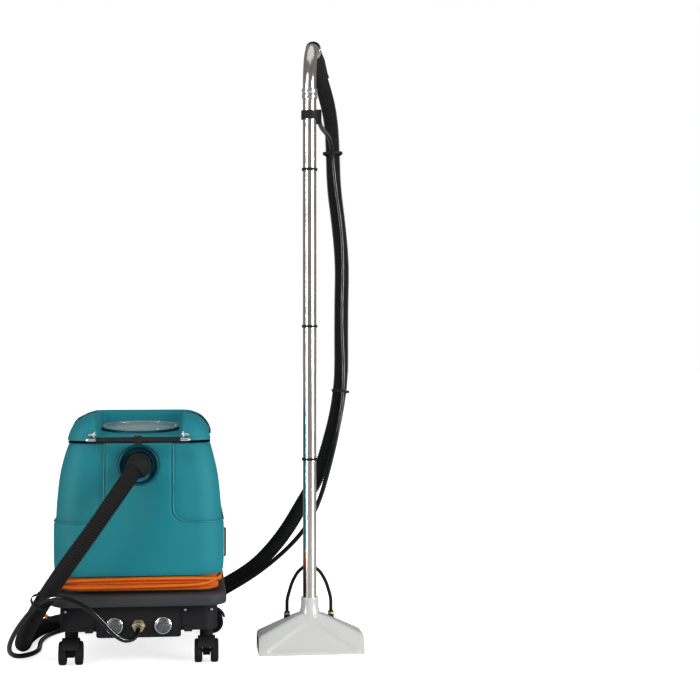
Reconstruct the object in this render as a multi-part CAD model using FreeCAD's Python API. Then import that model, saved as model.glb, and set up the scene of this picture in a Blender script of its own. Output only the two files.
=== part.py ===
"""Spray extraction carpet cleaner: a wheeled tank machine with its hoses, mains cord and floor wand.

Units are millimetres. +X is the machine's right as seen from its front, -Y is the front, +Z is up.
The origin is on the floor under the middle of the machine.
"""
import FreeCAD, Part
import math
import os
from FreeCAD import Vector

os.makedirs("parts", exist_ok=True)

# ---- driving dimensions: machine -------------------------------------------------------------
CHASSIS_WIDTH = 358.0
CHASSIS_DEPTH = 430.0
CHASSIS_BOTTOM_Z = 79.0
CHASSIS_TOP_Z = 137.0
CHASSIS_CORNER = 32.0
CHASSIS_WALL = 4.0
BELLY_WIDTH = 190.0
BELLY_DROP = 15.0

TRAY_MARGIN_X = 21.0
TRAY_MARGIN_Y = 25.0
TRAY_HEIGHT = 27.5
TRAY_CORNER = 50.0
TRAY_RIM = 5.0
TRAY_OPENING_MARGIN = 30.0

CORD_DIAMETER = 8.0
CORD_ROWS = 5
CORD_LAYERS = 2
NECK_WALL = 5.0
NECK_CORNER = 40.0

TANK_WIDTH = 390.0
TANK_DEPTH = 450.0
TANK_HEIGHT = 301.0
TANK_WALL = 5.0
TANK_CORNER = 62.0
TANK_FLOOR = 6.0
# (height above the tank's base, how far the wall stands in from the widest outline)
TANK_PROFILE = [
    (0.0, 5.0), (14.0, 0.0), (130.0, 0.0), (205.0, 6.0), (243.0, 12.0), (280.0, 22.0), (301.0, 30.0),
]

LID_GAP = 1.0
LID_WALL = 4.0
# (height above the parting line, how far the wall stands in from the tank's widest outline)
LID_PROFILE = [(0.0, 31.0), (22.0, 36.0), (38.0, 45.0), (50.0, 60.0), (56.0, 78.0)]
SCOOP_WIDTH = 200.0
SCOOP_FRONT_HEIGHT = 9.0
SCOOP_SLOPE = 3.9
SCOOP_BACK_Y = 118.0

DOME_RADIUS = 90.0
DOME_RISE = 10.0
DOME_WALL = 3.0
DOME_COLLAR_WIDTH = 12.0
DOME_COLLAR_HEIGHT = 7.5
DOME_CENTRE_Y = -40.0

BAIL_HALF_WIDTH = 106.0
BAIL_WIRE = 7.0
BAIL_REACH = 45.0
BAIL_STAND_OFF = 9.0
BAIL_DROP = 9.0
BAIL_GRIP_LENGTH = 190.0
BAIL_GRIP_DIAMETER = 14.0
BAIL_PIVOT_Z_ABOVE_PARTING = 19.0
BAIL_LUG_THICK = 6.0

PORT_RADIUS = 46.0
PORT_BORE = 29.0
PORT_DROP = 49.5
PORT_RECESS = 9.0
PORT_PROUD = 9.0

CASTER_X = 154.0
CASTER_Y = 172.0
WHEEL_DIAMETER = 54.0
WHEEL_WIDTH = 18.0
WHEEL_GAP = 19.0
CASTER_TRAIL = 20.0
STEM_RADIUS = 6.0
STEM_SOCKET_HEIGHT = 22.0
STEM_BOSS_WALL = 5.0
STEM_COLLAR_RADIUS = 11.0
HOOD_GAP = 3.0
HOOD_WALL = 4.0
HOOD_OVERHANG = 10.0
HOOD_CUT_HEIGHT = 12.0
SWIVEL_CAP_RADIUS = 15.0
TREAD_ROUNDING = 2.5
WHEEL_HUB_SKIN = 3.0
AXLE_RADIUS = 4.0
# which way each caster trails, in degrees about +Z from straight ahead
CASTER_TURNS = {"front_left": 0.0, "front_right": 0.0, "rear_left": 180.0, "rear_right": 90.0}

SWITCH_SPACING = 55.0
CONTROL_Z = 91.0
SWITCH_RADIUS = 15.0
COUPLER_RADIUS = 11.0

# ---- driving dimensions: recovery tank, motor and pump ---------------------------------------
RECOVERY_SIDE_GAP = 9.0
FILL_GAP = 50.0
RECOVERY_RAIL = 6.0
RECOVERY_WALL = 3.0
RECOVERY_DEPTH = 175.0
MOTOR_RADIUS = 62.0
MOTOR_HEIGHT = 52.0
ROTOR_RADIUS = 42.0
ROTOR_HEIGHT = 30.0
MOTOR_Y = 70.0
MOTOR_WALL = 4.0
SHAFT_RADIUS = 5.0
VENT_COUNT = 6
VENT_RADIUS = 6.0
VENT_CIRCLE = 20.0
FAN_SLOTS = 8
FAN_SLOT_WIDTH = 4.0
FAN_SLOT_DEPTH = 12.0
DUCT_RADIUS = 14.0
DUCT_BORE = 11.5
DUCT_LIFT = 16.0
PUMP_LENGTH = 120.0
PUMP_RADIUS = 22.0
PUMP_Y = -110.0
PUMP_FOOT_HEIGHT = 3.0
PUMP_HEAD_LENGTH = 34.0
PUMP_HEAD_HALF = 24.0
PUMP_FOOT_HALF = 18.0
SUPPLY_LINE_DIAMETER = 8.0
BOX_LENGTH = 80.0
BOX_WIDTH = 46.0
BOX_HEIGHT = 38.0
BOX_FROM_GLAND = 40.0
BOX_FROM_WALL = 22.0

# ---- driving dimensions: wand ----------------------------------------------------------------
WAND_X = 402.0
WAND_Y = -80.0
WAND_TUBE_DIAMETER = 32.0
WAND_TUBE_WALL = 1.5
WAND_JOINT_Z = 1331.0
WAND_BEND_RADIUS = 100.0
WAND_BEND_ANGLE = 105.0
WAND_BEND_YAW = 10.0

HEAD_WIDTH = 250.0
HEAD_FRONT_Y = -150.0
HEAD_HEEL_Y = -40.0
HEAD_END_HEIGHT = 41.0
HEAD_ROOF_Z = 90.0
HEAD_NECK_Z = 127.0
HEAD_NECK_RADIUS = 20.5
HEAD_WALL = 3.0
GLIDE_HEIGHT = 6.0

VALVE_Z = 1280.0
JET_SPREAD = 53.0
JET_LINE_DIAMETER = 7.6
TEE_Z = 196.0
TIE_HEIGHTS = [457.0, 775.0, 1150.0]
TIE_WIDTH = 6.0
TIE_THICK = 2.5

# ---- driving dimensions: hoses ---------------------------------------------------------------
VAC_HOSE_DIAMETER = 38.0
SOLUTION_HOSE_DIAMETER = 11.0

# ---- fixed values of the small fittings ------------------------------------------------------
GLAND_RADIUS = 8.0
GLAND_Y = -150.0
GLAND_Z = 95.0
DRAIN_RADIUS = 20.0
DRAIN_X = 90.0
DRAIN_Z = 240.0
SWITCH_DEPTH = 24.0
SWITCH_PROUD = 6.0
SWITCH_WELL = 14.0
ROCKER_WIDTH = 12.0
ROCKER_LENGTH = 20.0
ROCKER_PIN_RADIUS = 1.5
ROCKER_END_GAP = 1.5
BEZEL_WIDTH = 5.0
SPIGOT_LENGTH = 30.0
COUPLER_FLANGE = 5.0
SLEEVE_WALL = 5.0
FERRULE_WALL = 1.5
BOOT_RISE = 6.0
SPIGOT_RADIUS = 7.0
FLOAT_PLACE = (0.0, 95.0)
FLOAT_CAGE_RADIUS = 26.0
FLOAT_CAGE_HEIGHT = 62.0
FLOAT_PLATE_LIFT = 6.0
FLOAT_PLATE_THICK = 3.0
FLOAT_POST_RADIUS = 2.5
FLOAT_POST_INSET = 3.0
FLOAT_NECK_RADIUS = 14.0
FLOAT_NECK_BORE = 11.0
FLOAT_BALL_RADIUS = 20.0
FLOAT_SEAT_RADIUS = 14.0
LEVEL_Y = -150.0
LEVEL_LOW_Z = 236.0
LEVEL_HIGH_Z = 306.0
HEAD_HEEL_HEIGHT = 40.0
HEAD_LIP_HEIGHT = 14.0
HEAD_SOCKET_Z = 84.0
JET_Y = -58.0
CUFF_SOCKET_DEPTH = 14.0
HOSE_END_GAP = 2.0
JET_TOP_Z = 90.0
JET_STEM_RADIUS = 4.0
TEE_RADIUS = 5.0
TEE_HALF = 12.0
LINE_RADIUS = 4.0
VALVE_HALF = 16.0
VALVE_DEPTH = 22.0
VALVE_LEFT = 9.0
VALVE_RIGHT = 30.0
CLAMP_WALL = 4.0
CLAMP_HALF = 10.0
PIN_BACK = 16.0
EAR_RADIUS = 6.0
EAR_LEFT = -2.0
EAR_RIGHT = 4.0
EYE_RADIUS = 5.0
EYE_WIDTH = 5.0
EYE_GAP = 1.0
LEVER_THICK = 3.0
TRIGGER_LEAN = 12.0
JOINT_RING_HALF = 12.0
JOINT_RING_WALL = 2.5
PLUG_GRIP_LENGTH = 10.0
PLUG_GRIP_RADIUS = 7.0
PLUG_BODY_LENGTH = 24.0
PLUG_HALF_W = 17.0
PLUG_HALF_D = 12.0
PLUG_CORNER = 6.0
PLUG_PIN_RADIUS = 2.2
PLUG_PIN_LENGTH = 16.0
PLUG_PIN_PLACES = [(-9, 0), (9, 0), (0, 6)]
TRIGGER_PIN_RADIUS = 2.0
TRIGGER_LENGTH = 42.0
TRIGGER_PIN_LIFT = 6.0
TIE_PLACES = [(-206, -284, 166), (506, 198, 610), (489, 241, 1226)]

# ---- routes of the hoses and the cord --------------------------------------------------------
VAC_ROUTE = [
    (-9, -262, 448), (-52, -305, 388), (-103, -322, 314), (-157, -316, 240), (-206, -284, 166),
    (-244, -226, 98), (-266, -148, 48), (-276, -58, 22), (-278, 42, 20), (-262, 140, 20.5),
    (-228, 230, 20), (-160, 290, 20.5), (-66, 308, 20), (24, 312, 24), (98, 308, 44),
    (166, 300, 76), (232, 285, 112), (289, 265, 152), (334, 245, 202), (372, 226, 256),
    (406, 212, 318), (448, 203, 390), (473, 198, 470), (495, 196, 556), (507, 198, 646),
    (507, 203, 742), (508, 209, 840), (511, 217, 940), (503, 226, 1040), (491, 236, 1138),
    (489, 241, 1226), (485, 236, 1304), (468, 206, 1373), (444, 152, 1420),
]
SOLUTION_ROUTE = [
    (0, -262, 91), (-1, -290, 86), (-10, -315, 79), (-31, -332, 80), (-54, -340, 100),
    (-77, -343, 128), (-105, -345, 154), (-138, -346, 173), (-171, -341, 180), (-199, -328, 175),
    (-221, -309, 157), (-242, -287, 132), (-263, -261, 104), (-281, -231, 74), (-293, -198, 45),
    (-294, -164, 23), (-283, -134, 10), (-265, -108, 6.2), (-248, -80, 6), (-240, -44, 6.2),
    (-242, 0, 6), (-245, 46, 6.2), (-242, 94, 6), (-233, 140, 6.2), (-214, 184, 6),
    (-186, 223, 6.2), (-149, 251, 6), (-106, 267, 6.2), (-58, 275, 6), (-8, 279, 6.5),
    (44, 279, 11), (94, 276, 25), (142, 270, 46), (190, 262, 72), (235, 252, 99),
    (275, 243, 124), (311, 234, 151), (346, 224, 181), (379, 211, 214), (410, 197, 252),
    (435, 186, 297), (454, 177, 346), (469, 171, 402), (484, 168, 462), (498, 167, 528),
    (508, 169, 598), (510, 170, 672), (507, 174, 748), (506, 180, 826), (510, 187, 904),
    (510, 193, 980), (504, 200, 1055), (494, 206, 1126), (488, 208, 1184), (483, 196, 1229),
    (475, 165, 1254), (464, 124, 1262), (452, 80, 1264), (441, 38, 1267), (433, 0, 1273),
    (427, -34, 1280),
]
LEAD_ROUTE = [
    (-183, -150, 95), (-201, -149, 96), (-215, -141, 102), (-223, -125, 111), (-226, -104, 123),
    (-226, -80, 138), (-223, -54, 154), (-217, -28, 168), (-208, -2, 178), (-198, 24, 183),
    (-190, 50, 184),
]
TAIL_ROUTE = [
    (-82, 222, 185), (-56, 224, 186), (-31, 230, 187), (-9, 240, 185), (8, 252, 176),
    (18, 261, 161), (22, 265, 142), (22.5, 265.5, 122), (22, 265, 104),
]

# ---- clearances ------------------------------------------------------------------------------
FIT = 0.2
RUNNING = 0.05
BODY_GAP = 0.3

# ---- derived places --------------------------------------------------------------------------
HALF_W = CHASSIS_WIDTH / 2
HALF_D = CHASSIS_DEPTH / 2
BELLY_Z = CHASSIS_BOTTOM_Z - BELLY_DROP
TRAY_HALF_W = HALF_W + TRAY_MARGIN_X
TRAY_HALF_D = HALF_D + TRAY_MARGIN_Y
TRAY_TOP_Z = CHASSIS_TOP_Z + TRAY_HEIGHT
TANK_HALF_W = TANK_WIDTH / 2
TANK_HALF_D = TANK_DEPTH / 2
WINDING_HALF_W = TANK_HALF_W - CORD_DIAMETER / 2
WINDING_HALF_D = TANK_HALF_D - CORD_DIAMETER / 2
NECK_HALF_W = WINDING_HALF_W - CORD_LAYERS * CORD_DIAMETER
NECK_HALF_D = WINDING_HALF_D - CORD_LAYERS * CORD_DIAMETER
NECK_TOP_Z = TRAY_TOP_Z + CORD_ROWS * CORD_DIAMETER + 0.5
TANK_BASE_Z = NECK_TOP_Z
PARTING_Z = TANK_BASE_Z + TANK_HEIGHT
LID_BASE_Z = PARTING_Z + LID_GAP
PORT_Z = PARTING_Z - PORT_DROP
WHEEL_RADIUS = WHEEL_DIAMETER / 2
MOTOR_BASE_Z = BELLY_Z + CHASSIS_WALL
BEND_START_Z = WAND_JOINT_Z + 22.0
BAIL_PIVOT_Z = PARTING_Z + BAIL_PIVOT_Z_ABOVE_PARTING
WAND_RADIUS = WAND_TUBE_DIAMETER / 2
X_AXIS = Vector(1, 0, 0)
Z_AXIS = Vector(0, 0, 1)


# ---- helpers ---------------------------------------------------------------------------------
def block(x0, x1, y0, y1, z0, z1):
    """An upright box between the given limits."""
    return Part.makeBox(x1 - x0, y1 - y0, z1 - z0, Vector(x0, y0, z0))


def rod(radius, start, end):
    """A round bar from one point to another."""
    start, end = Vector(start), Vector(end)
    return Part.makeCylinder(radius, (end - start).Length, start, end - start)


def pipe(outer, inner, start, end):
    """A round tube from one point to another."""
    return rod(outer, start, end).cut(rod(inner, start, end))


def rounded_wire(half_w, front, back, corner, z):
    """A closed outline with round corners at one height."""
    corner = min(corner, half_w * 0.95, (back - front) * 0.475)
    middle = (front + back) / 2
    half_d = (back - front) / 2
    edges = []
    for quarter in range(4):
        sx = (1, -1, -1, 1)[quarter]
        sy = (1, 1, -1, -1)[quarter]
        centre = Vector(sx * (half_w - corner), middle + sy * (half_d - corner), z)
        angles = [math.radians(90 * quarter + a) for a in (0, 45, 90)]
        points = [centre + Vector(math.cos(a), math.sin(a), 0) * corner for a in angles]
        edges.append(Part.Arc(*points).toShape())
    joined = []
    for i in range(4):
        joined.append(edges[i])
        start = edges[i].Vertexes[-1].Point
        end = edges[(i + 1) % 4].Vertexes[0].Point
        joined.append(Part.LineSegment(start, end).toShape())
    return Part.Wire(Part.__sortEdges__(joined))


def rounded_block(half_w, half_d, corner, z0, z1, centre_y=0.0):
    """An upright prism with round corners."""
    wire = rounded_wire(half_w, centre_y - half_d, centre_y + half_d, corner, z0)
    return Part.Face(wire).extrude(Vector(0, 0, z1 - z0))


def profile_solid(base_z, profile, half_w, half_d, corner, inset=0.0):
    """A solid lofted through round-cornered outlines, one per (height, inset) pair."""
    wires = []
    for height, narrowing in profile:
        w = half_w - narrowing - inset
        d = half_d - narrowing - inset
        wires.append(rounded_wire(w, -d, d, max(corner - inset - narrowing * 0.4, 8.0), base_z + height))
    return Part.makeLoft(wires, True, True)


def profile_inset(profile, height):
    """The profile's inset at a height, between its two nearest pairs."""
    for (z0, n0), (z1, n1) in zip(profile, profile[1:]):
        if z0 <= height <= z1:
            return n0 + (n1 - n0) * (height - z0) / (z1 - z0)
    return profile[-1][1]


def route_wire(points):
    """Straight runs joined by tangent arcs; returns the wire and each arc's radius."""
    points = [Vector(p) for p in points]
    edges = []
    radii = []
    last = points[0]
    for before, corner, after in zip(points, points[1:], points[2:]):
        inward = (before - corner).normalize()
        outward = (after - corner).normalize()
        turn = math.pi - inward.getAngle(outward)
        shorter = min((before - corner).Length, (after - corner).Length)
        setback = 0.45 * shorter
        radius = setback / math.tan(turn / 2)
        start = corner + inward * setback
        end = corner + outward * setback
        bisector = (inward + outward).normalize()
        middle = corner + bisector * (radius / math.cos(turn / 2) - radius)
        edges.append(Part.LineSegment(last, start).toShape())
        edges.append(Part.Arc(start, middle, end).toShape())
        radii.append(radius)
        last = end
    edges.append(Part.LineSegment(last, points[-1]).toShape())
    return Part.Wire(edges), radii


def route_tube(name, points, diameter):
    """A plain round tube along a route; prints its length, tightest radius and volume error."""
    wire, radii = route_wire(points)
    start = Vector(points[0])
    direction = Vector(points[1]) - start
    profile = Part.Wire([Part.makeCircle(diameter / 2, start, direction)])
    solid = wire.makePipeShell([profile], True, False)
    ideal = math.pi * diameter ** 2 / 4 * wire.Length
    print(f"{name}: length {wire.Length:.0f}, radii", " ".join(f"{r:.0f}" for r in radii))
    print(f"{name}: volume / (section x length) = {solid.Volume / ideal:.4f}, valid {solid.isValid()}")
    return solid


def along(point, direction, length):
    """The point a length away from another along a direction."""
    return Vector(point) + Vector(direction).normalize() * length


def save(name, solids):
    """Write one node; a list becomes a group of separate solids."""
    shape = Part.makeCompound(solids) if isinstance(solids, list) else solids
    shape.exportStep(f"parts/{name}.step")
    volume = sum(s.Volume for s in shape.Solids)
    print(f"{name}: {len(shape.Solids)} solid(s), {volume / 1000:.1f} cm3, valid {shape.isValid()}")


# ---- chassis ---------------------------------------------------------------------------------
def control_xs():
    """Where the two switches and the coupler between them stand across the front."""
    return {"switch_left": -SWITCH_SPACING, "coupler": 0.0, "switch_right": SWITCH_SPACING}


def caster_places():
    """Each caster's name with its stem place on the floor plan."""
    return {
        "front_left": (-CASTER_X, -CASTER_Y),
        "front_right": (CASTER_X, -CASTER_Y),
        "rear_left": (-CASTER_X, CASTER_Y),
        "rear_right": (CASTER_X, CASTER_Y),
    }


def chassis():
    """A black open-topped tub with a deeper belly, caster sockets and holes for the controls."""
    outer = rounded_block(HALF_W, HALF_D, CHASSIS_CORNER, CHASSIS_BOTTOM_Z, CHASSIS_TOP_Z)
    belly = rounded_block(BELLY_WIDTH / 2, HALF_D, 12.0, BELLY_Z, CHASSIS_BOTTOM_Z + 1)
    inner = rounded_block(HALF_W - CHASSIS_WALL, HALF_D - CHASSIS_WALL, CHASSIS_CORNER - CHASSIS_WALL,
                          CHASSIS_BOTTOM_Z + CHASSIS_WALL, CHASSIS_TOP_Z + 1)
    belly_inner = rounded_block(BELLY_WIDTH / 2 - CHASSIS_WALL, HALF_D - CHASSIS_WALL, 8.0,
                                BELLY_Z + CHASSIS_WALL, CHASSIS_TOP_Z)
    tub = outer.fuse(belly).cut(inner).cut(belly_inner)
    for x, y in caster_places().values():
        socket_top = CHASSIS_BOTTOM_Z + STEM_SOCKET_HEIGHT
        boss = rod(STEM_RADIUS + STEM_BOSS_WALL, (x, y, CHASSIS_BOTTOM_Z), (x, y, socket_top + CHASSIS_WALL))
        bore = rod(STEM_RADIUS + RUNNING, (x, y, CHASSIS_BOTTOM_Z - 1), (x, y, socket_top + FIT))
        tub = tub.fuse(boss).cut(bore)
    front = -HALF_D
    for name, x in control_xs().items():
        radius = COUPLER_RADIUS if name == "coupler" else SWITCH_RADIUS
        panel_back = front + CHASSIS_WALL + 1
        tub = tub.cut(rod(radius + FIT, (x, front - 1, CONTROL_Z), (x, panel_back, CONTROL_Z)))
    gland_inside = -HALF_W + CHASSIS_WALL + 1
    tub = tub.cut(rod(GLAND_RADIUS + FIT, (-HALF_W - 1, GLAND_Y, GLAND_Z), (gland_inside, GLAND_Y, GLAND_Z)))
    return tub.removeSplitter()


def bumper_tray():
    """A dark grey rounded plate with an outer rim and an opening for the motor."""
    plate = rounded_block(TRAY_HALF_W, TRAY_HALF_D, TRAY_CORNER, CHASSIS_TOP_Z, TRAY_TOP_Z)
    opening = rounded_block(NECK_HALF_W - TRAY_OPENING_MARGIN, NECK_HALF_D - TRAY_OPENING_MARGIN, 30.0,
                            CHASSIS_TOP_Z - 1, TRAY_TOP_Z + 1)
    pocket_outer = rounded_block(TRAY_HALF_W - TRAY_RIM, TRAY_HALF_D - TRAY_RIM, TRAY_CORNER - TRAY_RIM,
                                 CHASSIS_TOP_Z - 1, TRAY_TOP_Z - TRAY_RIM)
    pocket_inner = rounded_block(HALF_W + TRAY_RIM, HALF_D + TRAY_RIM, CHASSIS_CORNER + TRAY_RIM,
                                 CHASSIS_TOP_Z - 1, TRAY_TOP_Z - TRAY_RIM)
    return plate.makeFillet(5.0, [e for e in plate.Edges if abs(e.CenterOfMass.z - TRAY_TOP_Z) < 0.1]) \
        .cut(opening).cut(pocket_outer.cut(pocket_inner))


def cord_neck():
    """The waist between tray and tank that the mains cord is wound on."""
    outer = rounded_block(NECK_HALF_W, NECK_HALF_D, NECK_CORNER, TRAY_TOP_Z, NECK_TOP_Z)
    inner = rounded_block(NECK_HALF_W - NECK_WALL, NECK_HALF_D - NECK_WALL, NECK_CORNER - NECK_WALL,
                          TRAY_TOP_Z - 1, NECK_TOP_Z - NECK_WALL)
    hole = rod(40.0, (0, MOTOR_Y, TRAY_TOP_Z), (0, MOTOR_Y, NECK_TOP_Z + 1))
    return outer.cut(inner).cut(hole)


# ---- casters ---------------------------------------------------------------------------------
def caster_fork():
    """Hood, stem and axle pin of a twin-wheel caster that trails towards -Y, stem on the Z axis."""
    axle_y = -CASTER_TRAIL
    plate_z = WHEEL_DIAMETER + 4
    span = WHEEL_GAP / 2 - 1.5
    web = block(-span, span, axle_y - 14, 12, WHEEL_RADIUS - 8, plate_z)
    hood_half = WHEEL_GAP / 2 + HOOD_OVERHANG
    reach = WHEEL_RADIUS + HOOD_GAP
    past = WHEEL_GAP + WHEEL_WIDTH
    hood_outer = rod(reach + HOOD_WALL, (-hood_half, axle_y, WHEEL_RADIUS), (hood_half, axle_y, WHEEL_RADIUS))
    hood_inner = rod(reach, (-past, axle_y, WHEEL_RADIUS), (past, axle_y, WHEEL_RADIUS))
    keep = block(-past, past, axle_y - WHEEL_DIAMETER, axle_y + WHEEL_DIAMETER,
                 WHEEL_RADIUS + HOOD_CUT_HEIGHT, plate_z + WHEEL_RADIUS)
    hood = hood_outer.cut(hood_inner).common(keep)
    cap = rod(SWIVEL_CAP_RADIUS, (0, 0, WHEEL_DIAMETER - 4), (0, 0, CHASSIS_BOTTOM_Z - 4))
    cap = cap.cut(rod(reach, (-past, axle_y, WHEEL_RADIUS), (-span, axle_y, WHEEL_RADIUS)))
    cap = cap.cut(rod(reach, (span, axle_y, WHEEL_RADIUS), (past, axle_y, WHEEL_RADIUS)))
    stem = rod(STEM_RADIUS, (0, 0, CHASSIS_BOTTOM_Z - 6), (0, 0, CHASSIS_BOTTOM_Z + STEM_SOCKET_HEIGHT))
    collar = rod(STEM_COLLAR_RADIUS, (0, 0, CHASSIS_BOTTOM_Z - 5), (0, 0, CHASSIS_BOTTOM_Z - BODY_GAP))
    pin_half = WHEEL_GAP / 2 + WHEEL_WIDTH - WHEEL_HUB_SKIN
    pin = rod(AXLE_RADIUS, (-pin_half, axle_y, WHEEL_RADIUS), (pin_half, axle_y, WHEEL_RADIUS))
    return web.fuse([hood, cap, collar, stem, pin])


def caster_wheels():
    """The two wheels of a caster as a pair of solids that share the axle pin."""
    wheels = []
    axle_y = -CASTER_TRAIL
    for side in (-1, 1):
        inner = side * WHEEL_GAP / 2
        outer = side * (WHEEL_GAP / 2 + WHEEL_WIDTH)
        disc = rod(WHEEL_RADIUS, (inner, axle_y, WHEEL_RADIUS), (outer, axle_y, WHEEL_RADIUS))
        rims = [e for e in disc.Edges if e.Curve.TypeId == "Part::GeomCircle"]
        disc = disc.makeFillet(TREAD_ROUNDING, rims)
        bore = rod(AXLE_RADIUS + RUNNING, (inner, axle_y, WHEEL_RADIUS),
                   (outer - side * (WHEEL_HUB_SKIN - RUNNING), axle_y, WHEEL_RADIUS))
        wheels.append(disc.cut(bore))
    return wheels


def build_casters():
    """All four casters, each turned to its own trail direction and set under its socket."""
    for name, (x, y) in caster_places().items():
        placement = FreeCAD.Placement(Vector(x, y, 0), FreeCAD.Rotation(Z_AXIS, CASTER_TURNS[name]))
        fork = caster_fork()
        fork.Placement = placement
        save(f"caster_fork_{name}", fork)
        wheels = caster_wheels()
        for wheel in wheels:
            wheel.Placement = placement
        save(f"caster_wheels_{name}", wheels)


# ---- tanks -----------------------------------------------------------------------------------
def tank_outline(inset):
    """The tank's outer form, moved in by a wall."""
    return profile_solid(TANK_BASE_Z, TANK_PROFILE, TANK_HALF_W, TANK_HALF_D, TANK_CORNER, inset)


def port_face_y():
    """The Y of the tank's front face at the hose port's middle."""
    return -(TANK_HALF_D - profile_inset(TANK_PROFILE, PORT_Z - TANK_BASE_Z))


def solution_tank():
    """The teal shell with its floor, hose port opening and drain hole."""
    floor_trim = block(-400, 400, -400, 400, TANK_BASE_Z - 5, TANK_BASE_Z + TANK_FLOOR)
    cavity = tank_outline(TANK_WALL).cut(floor_trim)
    shell = tank_outline(0.0).cut(cavity)
    rim = TANK_PROFILE[-1][1]
    mouth_profile = [(TANK_HEIGHT - 2, rim), (TANK_HEIGHT + 2, rim)]
    mouth = profile_solid(TANK_BASE_Z, mouth_profile, TANK_HALF_W, TANK_HALF_D, TANK_CORNER, TANK_WALL)
    shell = shell.cut(mouth)
    port = rod(PORT_RADIUS + FIT, (0, -TANK_HALF_D - 20, PORT_Z), (0, port_face_y() + 40, PORT_Z))
    drain_in = (DRAIN_X, TANK_HALF_D - 30, DRAIN_Z)
    drain_out = (DRAIN_X, TANK_HALF_D + 30, DRAIN_Z)
    drain = rod(DRAIN_RADIUS + FIT, drain_in, drain_out)
    return shell.cut(port).cut(drain)


def recovery_outline(inset):
    """The recovery bucket's form: a round-cornered box that clears the tank's tapering wall."""
    half_w = TANK_HALF_W - TANK_PROFILE[-1][1] - TANK_WALL - RECOVERY_SIDE_GAP
    half_d = TANK_HALF_D - TANK_PROFILE[-1][1] - TANK_WALL - FILL_GAP
    return half_w - inset, half_d - inset


def recovery_tank():
    """The black bucket hung from the tank's mouth by its flange."""
    half_w, half_d = recovery_outline(0.0)
    top = PARTING_Z - 4
    body = rounded_block(half_w, half_d, 34.0, top - RECOVERY_DEPTH, top)
    in_w, in_d = recovery_outline(RECOVERY_WALL)
    inner = rounded_block(in_w, in_d, 31.0, top - RECOVERY_DEPTH + RECOVERY_WALL, top + 1)
    inlet = rod(PORT_BORE + FIT, (0, -half_d - 5, PORT_Z), (0, -half_d + 10, PORT_Z))
    reach = half_w + RECOVERY_SIDE_GAP - FIT
    rails = block(-reach, reach, -half_d + 40, half_d - 40, top - RECOVERY_RAIL, top)
    return body.fuse(rails).cut(inner).cut(inlet)


def tank_gasket():
    """The flat seal between the tank's mouth and the lid."""
    inset = TANK_PROFILE[-1][1]
    outer = rounded_block(TANK_HALF_W - inset - 1, TANK_HALF_D - inset - 1, TANK_CORNER - inset * 0.4 - 1,
                          PARTING_Z, LID_BASE_Z - BODY_GAP)
    inner = rounded_block(TANK_HALF_W - inset - TANK_WALL, TANK_HALF_D - inset - TANK_WALL,
                          TANK_CORNER - inset * 0.4 - TANK_WALL, PARTING_Z - 1, LID_BASE_Z + 1)
    return outer.cut(inner)


def port_boss():
    """The teal round boss with a recessed face around the vacuum inlet."""
    front = port_face_y() - PORT_PROUD
    back = port_face_y() + 26
    body = rod(PORT_RADIUS, (0, front, PORT_Z), (0, back, PORT_Z))
    recess = rod(PORT_RADIUS - 4, (0, front - 1, PORT_Z), (0, front + PORT_RECESS, PORT_Z))
    bore = rod(PORT_BORE, (0, front - 1, PORT_Z), (0, back + 1, PORT_Z))
    return body.cut(recess).cut(bore)


def inlet_elbow():
    """The black cuff in the boss and its angled socket for the vacuum hose."""
    recovery_front = -recovery_outline(0.0)[1]
    inner_end = recovery_front + 8
    start = port_face_y() - PORT_PROUD + 4
    straight = rod(PORT_BORE - FIT, (0, inner_end, PORT_Z), (0, start, PORT_Z))
    bore = rod(PORT_BORE - 6, (0, inner_end + 1, PORT_Z), (0, start + 8, PORT_Z))
    ball = Part.makeSphere(PORT_BORE - 1.5, Vector(0, start, PORT_Z))
    end = Vector(VAC_ROUTE[0])
    direction = (Vector(VAC_ROUTE[1]) - end).normalize()
    socket = rod(PORT_BORE - 5, end - direction * 34, end)
    ball = ball.common(block(-60, 60, -400, start + 0.5, PORT_Z - 60, PORT_Z + 60))
    return straight.fuse([ball, socket]).cut(bore)


# ---- lid, dome and bail ----------------------------------------------------------------------
def scoop_cutter():
    """The space of the sloping scoop in the lid's top, open to the front."""
    reach = 500.0
    tool = Part.makeBox(SCOOP_WIDTH, reach, 200, Vector(-SCOOP_WIDTH / 2, -reach, 0))
    tool.rotate(Vector(0, 0, 0), X_AXIS, SCOOP_SLOPE)
    back_z = scoop_height(SCOOP_BACK_Y)
    tool.translate(Vector(0, SCOOP_BACK_Y, back_z))
    return tool


def scoop_height(y):
    """The height of the scoop's floor at a Y."""
    front = -(TANK_HALF_D - LID_PROFILE[0][1])
    return LID_BASE_Z + SCOOP_FRONT_HEIGHT + (y - front) * math.tan(math.radians(SCOOP_SLOPE))


def scoop_normal():
    """The upward normal of the scoop's floor."""
    slope = math.radians(SCOOP_SLOPE)
    return Vector(0, -math.sin(slope), math.cos(slope))


def lid_outline(inset):
    """The lid's outer form, moved in by a wall."""
    return profile_solid(LID_BASE_Z, LID_PROFILE, TANK_HALF_W, TANK_HALF_D, TANK_CORNER, inset)


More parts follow.
